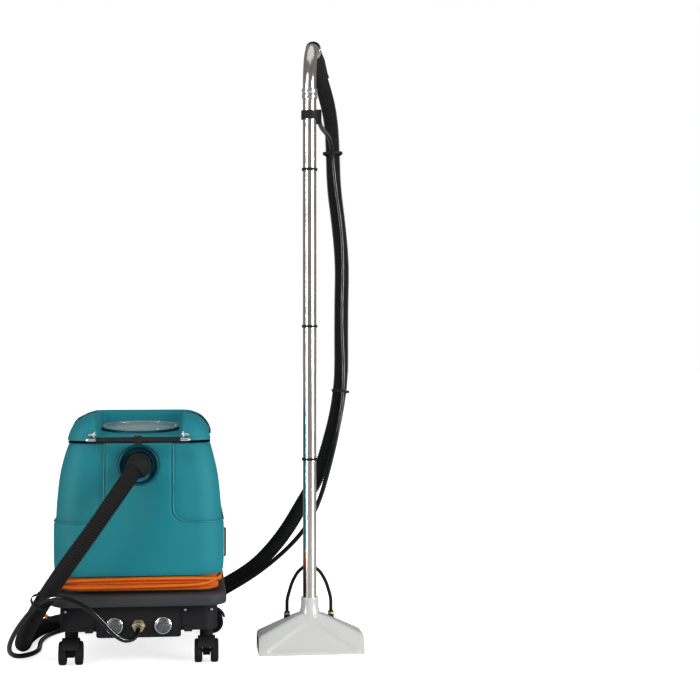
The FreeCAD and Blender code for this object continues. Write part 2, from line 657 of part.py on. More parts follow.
def tank_lid():
    """The teal lid: a shallow shell, scooped in front, with the dome's hole and bail lug seats."""
    outer = lid_outline(0.0).cut(scoop_cutter())
    inner = lid_outline(LID_WALL)
    inner.translate(Vector(0, 0, -LID_WALL))
    under_scoop = scoop_cutter()
    under_scoop.translate(scoop_normal() * -LID_WALL)
    inner = inner.cut(under_scoop.fuse(block(-SCOOP_WIDTH / 2 - LID_WALL, SCOOP_WIDTH / 2 + LID_WALL,
                                             -400, SCOOP_BACK_Y + LID_WALL,
                                             scoop_height(SCOOP_BACK_Y) - 2, 700)))
    slope_wall = scoop_cutter()
    slope_wall.translate(scoop_normal() * -LID_WALL)
    side = slope_wall.fuse(translated(slope_wall, Vector(LID_WALL, LID_WALL, 0)))
    side = side.fuse(translated(slope_wall, Vector(-LID_WALL, LID_WALL, 0)))
    inner = inner.cut(side)
    hole = dome_axis_rod(DOME_RADIUS - DOME_COLLAR_WIDTH, -40, 40)
    return outer.cut(inner).cut(hole)


def translated(shape, vector):
    """A moved copy."""
    moved = shape.copy()
    moved.translate(vector)
    return moved


def dome_base():
    """The point on the scoop's floor under the dome's middle."""
    return Vector(0, DOME_CENTRE_Y, scoop_height(DOME_CENTRE_Y))


def dome_axis_rod(radius, low, high):
    """A round bar along the dome's tilted axis between two heights above the scoop's floor."""
    return rod(radius, dome_base() + scoop_normal() * low, dome_base() + scoop_normal() * high)


def dome_collar():
    """The teal ring that the dome screws down on."""
    outer = dome_axis_rod(DOME_RADIUS + 2, FIT, DOME_COLLAR_HEIGHT)
    return outer.cut(dome_axis_rod(DOME_RADIUS - DOME_COLLAR_WIDTH, -1, DOME_COLLAR_HEIGHT + 1))


def dome_shell():
    """The clear cap, a shallow slice of a sphere with a flat rim."""
    low = DOME_COLLAR_HEIGHT + BODY_GAP
    sphere_radius = (DOME_RADIUS ** 2 + DOME_RISE ** 2) / (2 * DOME_RISE)
    centre = dome_base() + scoop_normal() * (low + DOME_RISE - sphere_radius)
    keep = dome_axis_rod(DOME_RADIUS, low, low + DOME_RISE + 5)
    outer = Part.makeSphere(sphere_radius, centre).common(keep)
    hollow = dome_axis_rod(DOME_RADIUS - 6, low - 1, low + DOME_RISE)
    inner = Part.makeSphere(sphere_radius - DOME_WALL, centre).common(hollow)
    rim = dome_axis_rod(DOME_RADIUS, low, low + 3).cut(dome_axis_rod(DOME_RADIUS - 8, low - 1, low + 4))
    return outer.cut(inner).fuse(rim)


def bail_pivot_y():
    """The Y of the bail's pivots, just in front of the lid's face at their height."""
    face = TANK_HALF_D - profile_inset(LID_PROFILE, BAIL_PIVOT_Z - LID_BASE_Z)
    return -(face + BAIL_STAND_OFF)


def bail_lugs():
    """The two eyelet lugs on the lid that the bail's ends turn in."""
    lugs = []
    y = bail_pivot_y()
    for side in (-1, 1):
        x0 = side * (BAIL_HALF_WIDTH - BAIL_LUG_THICK / 2)
        x1 = side * (BAIL_HALF_WIDTH + BAIL_LUG_THICK / 2)
        eye = rod(9.0, (x0, y, BAIL_PIVOT_Z), (x1, y, BAIL_PIVOT_Z))
        foot = block(min(x0, x1), max(x0, x1), y, y + 30, BAIL_PIVOT_Z - 9, BAIL_PIVOT_Z + 7)
        hole = rod(BAIL_WIRE / 2 + RUNNING, (x0 - side, y, BAIL_PIVOT_Z), (x1 + side, y, BAIL_PIVOT_Z))
        lugs.append(eye.fuse(foot).cut(hole).cut(lid_solid_fill()))
    return lugs


def lid_solid_fill():
    """The lid's outer form with its scoop, as a solid, for seating pieces on its surface."""
    return lid_outline(0.0).cut(scoop_cutter())


def carry_bail():
    """The chrome wire bail: two pivots, two arms and the cross bar inside the grip."""
    y = bail_pivot_y()
    z = BAIL_PIVOT_Z
    front_y = y - BAIL_REACH
    front_z = z - BAIL_DROP
    bars = []
    for side in (-1, 1):
        outer = side * (BAIL_HALF_WIDTH + BAIL_LUG_THICK / 2 + 7)
        elbow = (outer, y, z)
        corner = (outer, front_y, front_z)
        bars.append(rod(BAIL_WIRE / 2, (side * (BAIL_HALF_WIDTH - BAIL_LUG_THICK), y, z), elbow))
        bars.append(rod(BAIL_WIRE / 2, elbow, corner))
        bars.append(Part.makeSphere(BAIL_WIRE / 2, Vector(elbow)))
        bars.append(Part.makeSphere(BAIL_WIRE / 2, Vector(corner)))
    reach = BAIL_HALF_WIDTH + BAIL_LUG_THICK / 2 + 7
    cross = rod(BAIL_WIRE / 2, (-reach, front_y, front_z), (reach, front_y, front_z))
    return cross.fuse(bars)


def bail_grip():
    """The black sleeve on the bail's cross bar with its raised centre clip."""
    y = bail_pivot_y() - BAIL_REACH
    z = BAIL_PIVOT_Z - BAIL_DROP
    half = BAIL_GRIP_LENGTH / 2
    sleeve = rod(BAIL_GRIP_DIAMETER / 2, (-half, y, z), (half, y, z))
    clip = rod(BAIL_GRIP_DIAMETER / 2 + 2.5, (-8, y, z), (8, y, z))
    return sleeve.fuse(clip).cut(rod(BAIL_WIRE / 2 + RUNNING, (-half - 1, y, z), (half + 1, y, z)))


def float_cage():
    """The white cage under the lid that guides the overflow float."""
    x, y = FLOAT_PLACE
    top = LID_BASE_Z + FLOAT_PLATE_LIFT
    low = top - FLOAT_CAGE_HEIGHT
    plate = rod(FLOAT_CAGE_RADIUS, (x, y, top - FLOAT_PLATE_THICK), (x, y, top))
    base = pipe(FLOAT_CAGE_RADIUS, FLOAT_SEAT_RADIUS, (x, y, low), (x, y, low + FLOAT_PLATE_THICK))
    posts = []
    for k in range(4):
        angle = math.radians(45 + 90 * k)
        px = x + (FLOAT_CAGE_RADIUS - FLOAT_POST_INSET) * math.cos(angle)
        py = y + (FLOAT_CAGE_RADIUS - FLOAT_POST_INSET) * math.sin(angle)
        posts.append(rod(FLOAT_POST_RADIUS, (px, py, low + 1), (px, py, top - 1)))
    neck_top = scoop_height(y) - LID_WALL - 1
    neck = pipe(FLOAT_NECK_RADIUS, FLOAT_NECK_BORE, (x, y, top - 1), (x, y, neck_top))
    throat = rod(FLOAT_NECK_BORE, (x, y, top - 5), (x, y, top + 5))
    return plate.cut(throat).fuse([base, neck] + posts)


def float_ball():
    """The ball that rises in the cage and shuts the suction off when the bucket is full."""
    x, y = FLOAT_PLACE
    seat_top = LID_BASE_Z + FLOAT_PLATE_LIFT - FLOAT_CAGE_HEIGHT + FLOAT_PLATE_THICK
    z = seat_top + math.sqrt(FLOAT_BALL_RADIUS ** 2 - FLOAT_SEAT_RADIUS ** 2) + BODY_GAP
    return Part.makeSphere(FLOAT_BALL_RADIUS, Vector(x, y, z))


# ---- motor, pump and lines in the base -------------------------------------------------------
def vacuum_motor():
    """The motor's stator can with its end plates and the shaft's two bearings."""
    low = MOTOR_BASE_Z
    high = low + MOTOR_HEIGHT
    can = pipe(MOTOR_RADIUS, MOTOR_RADIUS - MOTOR_WALL, (0, MOTOR_Y, low), (0, MOTOR_Y, high))
    foot = rod(MOTOR_RADIUS, (0, MOTOR_Y, low), (0, MOTOR_Y, low + MOTOR_WALL))
    lid = rod(MOTOR_RADIUS, (0, MOTOR_Y, high - MOTOR_WALL), (0, MOTOR_Y, high))
    shaft_hole = rod(SHAFT_RADIUS + RUNNING, (0, MOTOR_Y, low + 1), (0, MOTOR_Y, high - 1))
    vents = []
    for k in range(VENT_COUNT):
        angle = 2 * math.pi * k / VENT_COUNT
        place = (VENT_CIRCLE * math.cos(angle), MOTOR_Y + VENT_CIRCLE * math.sin(angle))
        vents.append(rod(VENT_RADIUS, (*place, high - MOTOR_WALL - 1), (*place, high + 1)))
    return can.fuse([foot, lid]).cut([shaft_hole] + vents)


def motor_rotor():
    """The motor's fan wheel on its shaft."""
    middle = MOTOR_BASE_Z + MOTOR_HEIGHT / 2
    low = middle - ROTOR_HEIGHT / 2
    high = middle + ROTOR_HEIGHT / 2
    wheel = rod(ROTOR_RADIUS, (0, MOTOR_Y, low), (0, MOTOR_Y, high))
    slots = []
    for k in range(FAN_SLOTS):
        slot = block(ROTOR_RADIUS - FAN_SLOT_DEPTH, ROTOR_RADIUS + 2, MOTOR_Y - FAN_SLOT_WIDTH / 2,
                     MOTOR_Y + FAN_SLOT_WIDTH / 2, low + MOTOR_WALL, high - MOTOR_WALL)
        slot.rotate(Vector(0, MOTOR_Y, middle), Z_AXIS, 360 / FAN_SLOTS * k)
        slots.append(slot)
    shaft_low = MOTOR_BASE_Z + 1 + BODY_GAP
    shaft_high = MOTOR_BASE_Z + MOTOR_HEIGHT - 1 - BODY_GAP
    shaft = rod(SHAFT_RADIUS, (0, MOTOR_Y, shaft_low), (0, MOTOR_Y, shaft_high))
    return wheel.cut(slots[0].fuse(slots[1:])).fuse(shaft)


def exhaust_duct():
    """The silenced duct from the motor's side to the rear of the belly."""
    z = MOTOR_BASE_Z + DUCT_LIFT
    start = (0, MOTOR_Y + MOTOR_RADIUS + FIT, z)
    end = (0, HALF_D - CHASSIS_WALL, z)
    return pipe(DUCT_RADIUS, DUCT_BORE, start, end)


def pump_axis_z():
    """The height of the pump's axis above the floor."""
    return BELLY_Z + CHASSIS_WALL + PUMP_RADIUS + PUMP_FOOT_HEIGHT


def pump():
    """The solution pump: a motor barrel, its head and a foot on the belly floor."""
    half = PUMP_LENGTH / 2
    z = pump_axis_z()
    head_end = -half + PUMP_HEAD_LENGTH
    barrel = rod(PUMP_RADIUS, (head_end, PUMP_Y, z), (half, PUMP_Y, z))
    head = block(-half, head_end, PUMP_Y - PUMP_HEAD_HALF, PUMP_Y + PUMP_HEAD_HALF,
                 z - PUMP_RADIUS, z + PUMP_RADIUS)
    foot = block(-half + 20, half - 10, PUMP_Y - PUMP_FOOT_HALF, PUMP_Y + PUMP_FOOT_HALF,
                 BELLY_Z + CHASSIS_WALL, z - PUMP_RADIUS + 4)
    return barrel.fuse([head, foot])


def supply_line():
    """The line from the pump's head to the back of the quick coupler."""
    z = pump_axis_z()
    start = (-PUMP_LENGTH / 2 + PUMP_HEAD_LENGTH / 2, PUMP_Y - PUMP_HEAD_HALF, z)
    points = [start, (start[0] + 2, PUMP_Y - 44, z), (start[0] + 14, PUMP_Y - 62, z + 0.4),
              (start[0] + 32, PUMP_Y - 72, z + 0.6), (-5, PUMP_Y - 78, z + 0.5)]
    return route_tube("supply_line", points, SUPPLY_LINE_DIAMETER)


def terminal_box():
    """The electrical box on the chassis floor beside the gland."""
    z = CHASSIS_BOTTOM_Z + CHASSIS_WALL
    x = -HALF_W + CHASSIS_WALL + BOX_FROM_WALL
    y = GLAND_Y + BOX_FROM_GLAND
    return block(x, x + BOX_WIDTH, y, y + BOX_LENGTH, z, z + BOX_HEIGHT)


def cord_gland():
    """The gland that clamps the mains cord where it enters the chassis' left side."""
    inside = -HALF_W + CHASSIS_WALL + 8
    outside = LEAD_ROUTE[0][0]
    barrel = rod(GLAND_RADIUS, (inside, GLAND_Y, GLAND_Z), (-HALF_W, GLAND_Y, GLAND_Z))
    flange = rod(GLAND_RADIUS + 3, (-HALF_W, GLAND_Y, GLAND_Z), (outside, GLAND_Y, GLAND_Z))
    nut = rod(GLAND_RADIUS + 3, (inside, GLAND_Y, GLAND_Z), (-HALF_W + CHASSIS_WALL, GLAND_Y, GLAND_Z))
    return barrel.fuse([flange, nut])


# ---- front controls --------------------------------------------------------------------------
def switch_housings():
    """The two round switch bodies: barrel through the panel and a bezel ring in front."""
    bodies = []
    for name, x in control_xs().items():
        if name == "coupler":
            continue
        barrel = rod(SWITCH_RADIUS, (x, -HALF_D - 2, CONTROL_Z), (x, -HALF_D + SWITCH_DEPTH, CONTROL_Z))
        bezel_face = (x, -HALF_D - SWITCH_PROUD, CONTROL_Z)
        bezel = rod(SWITCH_RADIUS + BEZEL_WIDTH, bezel_face, (x, -HALF_D, CONTROL_Z))
        well_half = ROCKER_WIDTH / 2 + BODY_GAP
        well_reach = ROCKER_LENGTH / 2 + ROCKER_END_GAP
        well = block(x - well_half, x + well_half, -HALF_D - SWITCH_DEPTH, -HALF_D + SWITCH_WELL,
                     CONTROL_Z - well_reach, CONTROL_Z + well_reach)
        pin = rod(ROCKER_PIN_RADIUS, (x - ROCKER_WIDTH / 2 - 2, -HALF_D, CONTROL_Z),
                  (x + ROCKER_WIDTH / 2 + 2, -HALF_D, CONTROL_Z))
        bodies.append(barrel.fuse(bezel).cut(well).fuse(pin))
    return bodies


def switch_rocker(x):
    """One rocker: a rounded key that tilts on the pin across the switch's well."""
    y = -HALF_D
    key = block(x - ROCKER_WIDTH / 2, x + ROCKER_WIDTH / 2, y - SWITCH_PROUD + 1, y + 4,
                CONTROL_Z - ROCKER_LENGTH / 2, CONTROL_Z + ROCKER_LENGTH / 2)
    left = (x - ROCKER_WIDTH, y, CONTROL_Z)
    right = (x + ROCKER_WIDTH, y, CONTROL_Z)
    curve = rod(ROCKER_LENGTH / 2 + FIT, left, right)
    bore = rod(ROCKER_PIN_RADIUS + RUNNING, left, right)
    return key.common(curve).cut(bore)


def switch_boots():
    """The clear boots over the two rockers: shallow domes on the bezels."""
    boots = []
    for name, x in control_xs().items():
        if name == "coupler":
            continue
        face = -HALF_D - SWITCH_PROUD
        outer = rod(SWITCH_RADIUS + 3, (x, face - BOOT_RISE, CONTROL_Z), (x, face, CONTROL_Z))
        inner = rod(SWITCH_RADIUS + 1, (x, face - BOOT_RISE + 1.5, CONTROL_Z), (x, face + 1, CONTROL_Z))
        rim_edges = [e for e in outer.Edges if abs(e.CenterOfMass.y - (face - BOOT_RISE)) < 0.1]
        boots.append(outer.makeFillet(1.2, rim_edges).cut(inner))
    return boots


def coupler_body():
    """The brass quick coupler through the panel with its flange and spigot."""
    front = -HALF_D
    barrel = rod(COUPLER_RADIUS, (0, front, CONTROL_Z), (0, front + 14, CONTROL_Z))
    flange = rod(COUPLER_RADIUS + COUPLER_FLANGE, (0, front - COUPLER_FLANGE, CONTROL_Z),
                 (0, front, CONTROL_Z))
    spigot = rod(SPIGOT_RADIUS, (0, front - SPIGOT_LENGTH, CONTROL_Z), (0, front - 4, CONTROL_Z))
    return barrel.fuse([flange, spigot])


def coupler_collar():
    """The sprung locking sleeve that slides on the spigot."""
    front = -HALF_D
    mouth = (0, front - SPIGOT_LENGTH + 2, CONTROL_Z)
    back = (0, front - SPIGOT_LENGTH + 18, CONTROL_Z)
    return pipe(SPIGOT_RADIUS + SLEEVE_WALL, SPIGOT_RADIUS + RUNNING, mouth, back)


def hose_tail():
    """The plug on the solution hose that the coupler holds, with its crimped ferrule."""
    start = (0, -HALF_D - SPIGOT_LENGTH, CONTROL_Z)
    end = (0, SOLUTION_ROUTE[0][1], CONTROL_Z)
    return rod(SOLUTION_HOSE_DIAMETER / 2 + FERRULE_WALL, end, start)


def drain_outlet():
    """The threaded spout at the lower rear of the tank."""
    inner_y = drain_face_y() - 12
    outer_y = drain_face_y() + 18
    return pipe(DRAIN_RADIUS, DRAIN_RADIUS - 4, (DRAIN_X, inner_y, DRAIN_Z), (DRAIN_X, outer_y, DRAIN_Z))


def drain_face_y():
    """The Y of the tank's rear face at the drain."""
    return TANK_HALF_D - profile_inset(TANK_PROFILE, DRAIN_Z - TANK_BASE_Z)


def drain_cap():
    """The ribbed screw cap on the drain spout."""
    face = drain_face_y()
    cap = rod(DRAIN_RADIUS + 6, (DRAIN_X, face + 4, DRAIN_Z), (DRAIN_X, face + 24, DRAIN_Z))
    cavity_end = (DRAIN_X, face + 18 + BODY_GAP, DRAIN_Z)
    cavity = rod(DRAIN_RADIUS + RUNNING, (DRAIN_X, face + 3, DRAIN_Z), cavity_end)
    ribs = []
    for k in range(12):
        angle = math.radians(30 * k)
        rx = DRAIN_X + (DRAIN_RADIUS + 6) * math.cos(angle)
        rz = DRAIN_Z + (DRAIN_RADIUS + 6) * math.sin(angle)
        ribs.append(rod(1.6, (rx, face + 6, rz), (rx, face + 22, rz)))
    return cap.fuse(ribs).cut(cavity)


def level_tube():
    """The clear level tube on the tank's right side, in two elbows through the wall."""
    x = TANK_HALF_W + 4.5
    low = LEVEL_LOW_Z
    high = LEVEL_HIGH_Z
    upright = rod(4.0, (x, LEVEL_Y, low), (x, LEVEL_Y, high))
    stubs = [rod(4.0, (TANK_HALF_W + FIT, LEVEL_Y, z), (x, LEVEL_Y, z)) for z in (low + 4, high - 4)]
    return upright.fuse(stubs)


# ---- wand ------------------------------------------------------------------------------------
def head_profile(inset):
    """The floor head's front outline: low ends, a pitched roof and a flat top under the neck."""
    half = HEAD_WIDTH / 2 - inset
    neck = HEAD_NECK_RADIUS + 2 - inset
    base = -1.0 if inset else 0.0
    points = [(-half, base), (half, base), (half, HEAD_END_HEIGHT - inset), (neck, HEAD_ROOF_Z - inset),
              (-neck, HEAD_ROOF_Z - inset), (-half, HEAD_END_HEIGHT - inset)]
    return [Vector(WAND_X + x, 0, z) for x, z in points]


def head_form(inset):
    """The head's outline carried front to back, narrowing to the neck's depth at the roof."""
    outline = head_profile(inset)
    wire = Part.makePolygon(outline + [outline[0]])
    solid = Part.Face(wire).extrude(Vector(0, HEAD_HEEL_Y - HEAD_FRONT_Y - 2 * inset, 0))
    solid.translate(Vector(0, HEAD_FRONT_Y + inset, 0))
    roof_half = HEAD_NECK_RADIUS + 2 - inset
    side = [Vector(0, HEAD_FRONT_Y + inset, -2), Vector(0, HEAD_HEEL_Y - inset, -2),
            Vector(0, HEAD_HEEL_Y - inset, HEAD_HEEL_HEIGHT), Vector(0, WAND_Y + roof_half, HEAD_ROOF_Z + 1),
            Vector(0, WAND_Y - roof_half, HEAD_ROOF_Z + 1), Vector(0, HEAD_FRONT_Y + inset, HEAD_LIP_HEIGHT)]
    cutter = Part.Face(Part.makePolygon(side + [side[0]])).extrude(Vector(HEAD_WIDTH + 20, 0, 0))
    cutter.translate(Vector(WAND_X - HEAD_WIDTH / 2 - 10, 0, 0))
    return solid.common(cutter)


def floor_head():
    """The white head: a hollow pitched shell, open below, with a neck socket for the tube."""
    shell = head_form(0.0)
    neck = rod(HEAD_NECK_RADIUS, (WAND_X, WAND_Y, HEAD_ROOF_Z - 4), (WAND_X, WAND_Y, HEAD_NECK_Z))
    socket = rod(WAND_RADIUS + FIT, (WAND_X, WAND_Y, HEAD_SOCKET_Z), (WAND_X, WAND_Y, HEAD_NECK_Z + 1))
    throat = rod(WAND_RADIUS - 3, (WAND_X, WAND_Y, HEAD_ROOF_Z - 12), (WAND_X, WAND_Y, HEAD_NECK_Z + 1))
    head = shell.fuse(neck).cut(head_form(HEAD_WALL)).cut(socket).cut(throat)
    for side in (-1, 1):
        x = WAND_X + side * JET_SPREAD
        head = head.cut(rod(JET_STEM_RADIUS + FIT, (x, JET_Y, 20), (x, JET_Y, 120)))
    return head


def head_glide():
    """The grey glide rail along the head's front lip, inside the mouth."""
    half = HEAD_WIDTH / 2 - HEAD_WALL - FIT
    y = HEAD_FRONT_Y + HEAD_WALL + FIT
    return block(WAND_X - half, WAND_X + half, y, y + 12, 0.0, GLIDE_HEIGHT)


def spray_jets():
    """Two brass jets through the head's roof, each a stem, a hexagon collar and a nozzle."""
    jets = []
    for side in (-1, 1):
        x = WAND_X + side * JET_SPREAD
        roof = head_roof_z(JET_SPREAD)
        stem = rod(JET_STEM_RADIUS, (x, JET_Y, roof - 26), (x, JET_Y, JET_TOP_Z))
        collar = rod(JET_STEM_RADIUS + 3, (x, JET_Y, roof + 6), (x, JET_Y, roof + 11))
        jets.append(stem.fuse(collar))
    return jets


def head_roof_z(offset):
    """The height of the head's pitched roof at a distance from the tube's axis."""
    half = HEAD_WIDTH / 2
    neck = HEAD_NECK_RADIUS + 2
    share = (half - offset) / (half - neck)
    return HEAD_END_HEIGHT + (HEAD_ROOF_Z - HEAD_END_HEIGHT) * share


def jet_lines():
    """Two lines that arch from the tee behind the tube down to the jets."""
    lines = []
    y0 = WAND_Y + WAND_RADIUS + TEE_RADIUS + FIT
    for side in (-1, 1):
        end = Vector(WAND_X + side * JET_SPREAD, JET_Y, JET_TOP_Z)
        points = [Vector(WAND_X + side * TEE_HALF, y0, TEE_Z), Vector(WAND_X + side * 27, y0, TEE_Z - 12),
                  Vector(WAND_X + side * 41, y0 - 1, TEE_Z - 36),
                  Vector(WAND_X + side * 50, y0 - 3, TEE_Z - 66),
                  Vector(end.x, JET_Y, JET_TOP_Z + 26), end]
        lines.append(route_tube("jet_line", points, JET_LINE_DIAMETER))
    return lines


def wand_line():
    """The rigid solution line behind the tube, from the valve down to the tee."""
    y = WAND_Y + WAND_RADIUS + TEE_RADIUS + FIT
    line = rod(LINE_RADIUS, (WAND_X, y, TEE_Z), (WAND_X, y, VALVE_Z - VALVE_HALF))
    tee = rod(TEE_RADIUS, (WAND_X - TEE_HALF, y, TEE_Z), (WAND_X + TEE_HALF, y, TEE_Z))
    return line.fuse(tee)


def wand_tube():
    """The straight chrome tube from the head's socket to the joint ring."""
    foot = (WAND_X, WAND_Y, HEAD_SOCKET_Z + 1)
    top = (WAND_X, WAND_Y, WAND_JOINT_Z)
    return pipe(WAND_RADIUS, WAND_RADIUS - WAND_TUBE_WALL, foot, top)


def joint_ring():
    """The coupling sleeve where the bent tube meets the straight one."""
    low = (WAND_X, WAND_Y, WAND_JOINT_Z - JOINT_RING_HALF)
    high = (WAND_X, WAND_Y, WAND_JOINT_Z + JOINT_RING_HALF)
    return pipe(WAND_RADIUS + JOINT_RING_WALL, WAND_RADIUS + FIT, low, high)


def bend_direction():
    """The level direction that the bent tube leans in."""
    yaw = math.radians(WAND_BEND_YAW)
    return Vector(math.sin(yaw), math.cos(yaw), 0)


def bend_point(angle, start_z):
    """The point on the bent tube's axis at an angle of its arc."""
    a = math.radians(angle)
    level = bend_direction() * (WAND_BEND_RADIUS * (1 - math.cos(a)))
    return Vector(WAND_X, WAND_Y, start_z + WAND_BEND_RADIUS * math.sin(a)) + level


def bend_tangent(angle):
    """The tube's direction at an angle of its arc."""
    a = math.radians(angle)
    return bend_direction() * math.sin(a) + Z_AXIS * math.cos(a)


def wand_bend():
    """The bent top tube: a short straight stub and the arc over the top."""
    start = Vector(WAND_X, WAND_Y, WAND_JOINT_Z + FIT)
    arc_start = bend_point(0, BEND_START_Z)
    arc_middle = bend_point(WAND_BEND_ANGLE / 2, BEND_START_Z)
    arc = Part.Arc(arc_start, arc_middle, bend_point(WAND_BEND_ANGLE, BEND_START_Z))
    path = Part.Wire([Part.LineSegment(start, arc_start).toShape(), arc.toShape()])
    outer_ring = Part.Wire([Part.makeCircle(WAND_RADIUS, start, Z_AXIS)])
    inner_ring = Part.Wire([Part.makeCircle(WAND_RADIUS - WAND_TUBE_WALL, start, Z_AXIS)])
    outer = path.makePipeShell([outer_ring], True, False)
    inner = path.makePipeShell([inner_ring], True, False)
    return outer.cut(inner)


def hose_cuff():
    """The black cuff on the bent tube's end that the vacuum hose screws into."""
    end = bend_point(WAND_BEND_ANGLE, BEND_START_Z)
    direction = bend_tangent(WAND_BEND_ANGLE)
    outer = VAC_HOSE_DIAMETER / 2 + 3
    hose_end = Vector(VAC_ROUTE[-1])
    hose_way = (Vector(VAC_ROUTE[-2]) - hose_end).normalize()
    mouth = hose_end + direction * CUFF_SOCKET_DEPTH
    sleeve = pipe(outer, WAND_RADIUS - WAND_TUBE_WALL, end + direction * FIT, mouth)
    socket = rod(VAC_HOSE_DIAMETER / 2 + BODY_GAP, hose_end - hose_way * BODY_GAP, hose_end + hose_way * 60)
    return sleeve.cut(socket)


def trigger_pin():
    """The Y and Z of the trigger's pin."""
    return WAND_Y + WAND_RADIUS + FIT + PIN_BACK, VALVE_Z + VALVE_HALF + TRIGGER_PIN_LIFT


def valve_body():
    """The wand's solution valve, clamped to the back of the tube, with its hose spigot."""
    front = WAND_Y + WAND_RADIUS + FIT
    low = VALVE_Z - VALVE_HALF
    high = VALVE_Z + VALVE_HALF
    pin_y, pin_z = trigger_pin()
    body = block(WAND_X - VALVE_LEFT, WAND_X + VALVE_RIGHT, front, front + VALVE_DEPTH, low, high)
    body = body.cut(rod(WAND_RADIUS + CLAMP_WALL, (WAND_X, WAND_Y, low - 1), (WAND_X, WAND_Y, high + 1)))
    end = Vector(SOLUTION_ROUTE[-1])
    spigot = rod(SOLUTION_HOSE_DIAMETER / 2, (end.x, front + VALVE_DEPTH - 2, VALVE_Z),
                 (end.x, end.y - HOSE_END_GAP, VALVE_Z))
    clamp = pipe(WAND_RADIUS + CLAMP_WALL, WAND_RADIUS + FIT, (WAND_X, WAND_Y, VALVE_Z - CLAMP_HALF),
                 (WAND_X, WAND_Y, VALVE_Z + CLAMP_HALF))
    ear_left = WAND_X + EAR_LEFT
    ear_right = WAND_X + EAR_RIGHT
    ear = pipe(EAR_RADIUS, TRIGGER_PIN_RADIUS, (ear_left, pin_y, pin_z), (ear_right, pin_y, pin_z))
    web = block(ear_left, ear_right, pin_y - EYE_RADIUS, pin_y + EYE_RADIUS, high - 1, high + 2)
    pin_reach = EYE_WIDTH + EYE_GAP + 2
    pin = rod(TRIGGER_PIN_RADIUS, (ear_left - pin_reach, pin_y, pin_z), (ear_right + pin_reach, pin_y, pin_z))
    return body.fuse([clamp, spigot, ear, web, pin])


def valve_trigger():
    """The squeeze lever: two eyes on the valve's pin and a plate that hangs behind the valve."""
    y, z = trigger_pin()
    left = WAND_X + EAR_LEFT - EYE_GAP
    right = WAND_X + EAR_RIGHT + EYE_GAP
    edge_left = left - EYE_WIDTH
    edge_right = right + EYE_WIDTH
    half = EYE_RADIUS - 1
    back = y + 2 * EYE_RADIUS
    bore = TRIGGER_PIN_RADIUS + RUNNING
    eyes = [pipe(EYE_RADIUS, bore, (edge_left, y, z), (left, y, z)),
            pipe(EYE_RADIUS, bore, (right, y, z), (edge_right, y, z))]
    arms = [block(edge_left, left, y + half, back, z - half, z + half),
            block(right, edge_right, y + half, back, z - half, z + half)]
    bridge = block(edge_left, edge_right, back - LEVER_THICK, back, z - half, z + half)
    lever = block(edge_left, edge_right, back - LEVER_THICK + 1, back + 1, z + half - 1, z + TRIGGER_LENGTH)
    lever.rotate(Vector(WAND_X, back - 1, z + half - 1), X_AXIS, -TRIGGER_LEAN)
    return eyes[0].fuse([eyes[1], bridge, lever] + arms)


def wand_ties():
    """The black ties that hold the solution line to the tube."""
    ties = []
    y = WAND_Y + WAND_RADIUS + TEE_RADIUS + FIT
    for z in TIE_HEIGHTS:
        low = z - TIE_WIDTH / 2
        high = z + TIE_WIDTH / 2
        around = rod(WAND_RADIUS + TIE_THICK, (WAND_X, WAND_Y, low), (WAND_X, WAND_Y, high))
        line = rod(LINE_RADIUS + TIE_THICK, (WAND_X, y, low), (WAND_X, y, high))
        tie = around.fuse(line).cut(rod(WAND_RADIUS, (WAND_X, WAND_Y, low - 1), (WAND_X, WAND_Y, high + 1)))
        ties.append(tie.cut(rod(LINE_RADIUS, (WAND_X, y, low - 1), (WAND_X, y, high + 1))))
    return ties


# ---- hoses and mains cord --------------------------------------------------------------------
def cord_winding():
    """The mains cord's turns on the neck, as one ring of their outer shape."""
    outer_corner = NECK_CORNER + CORD_LAYERS * CORD_DIAMETER - 2
    outer = rounded_block(WINDING_HALF_W, WINDING_HALF_D, outer_corner, TRAY_TOP_Z + FIT, NECK_TOP_Z - FIT)
    inner = rounded_block(NECK_HALF_W + FIT, NECK_HALF_D + FIT, NECK_CORNER + FIT,
                          TRAY_TOP_Z - 1, NECK_TOP_Z + 1)
    return outer.cut(inner)


def mains_plug():
    """The plug on the cord's tail, hanging behind the machine, with three blade pins."""
    top = Vector(TAIL_ROUTE[-1])
    x, y, z = top.x, top.y, top.z
    shoulder = z - PLUG_GRIP_LENGTH
    face = shoulder - PLUG_BODY_LENGTH
    grip = rod(PLUG_GRIP_RADIUS, (x, y, shoulder), (x, y, z))
    body = rounded_block(PLUG_HALF_W, PLUG_HALF_D, PLUG_CORNER, face, shoulder + 1, y)
    body.translate(Vector(x, 0, 0))
    pins = []
    for dx, dy in PLUG_PIN_PLACES:
        tip = (x + dx, y + dy, face - PLUG_PIN_LENGTH)
        pins.append(rod(PLUG_PIN_RADIUS, tip, (x + dx, y + dy, face + 1)))
    return grip.fuse([body] + pins)


def hose_tie(vac_point, vac_next, solution_point):
    """A tie round the vacuum hose with a loop for the solution hose beside it."""
    axis = (Vector(vac_next) - Vector(vac_point)).normalize()
    centre = Vector(vac_point)
    offset = Vector(solution_point) - centre
    offset = offset - axis * offset.dot(axis)
    start = centre - axis * (TIE_WIDTH / 2)
    end = centre + axis * (TIE_WIDTH / 2)
    vac = pipe(VAC_HOSE_DIAMETER / 2 + TIE_THICK, VAC_HOSE_DIAMETER / 2, start, end)
    band = []
    for share in (0.25, 0.5, 0.75, 1.0):
        radius = VAC_HOSE_DIAMETER / 2 * (1 - share) + SOLUTION_HOSE_DIAMETER / 2 * share + TIE_THICK
        band.append(rod(radius, start + offset * share, end + offset * share))
    tie = vac.fuse(band).cut(rod(VAC_HOSE_DIAMETER / 2, start - axis, end + axis))
    return tie.cut(rod(SOLUTION_HOSE_DIAMETER / 2, start + offset - axis, end + offset + axis))


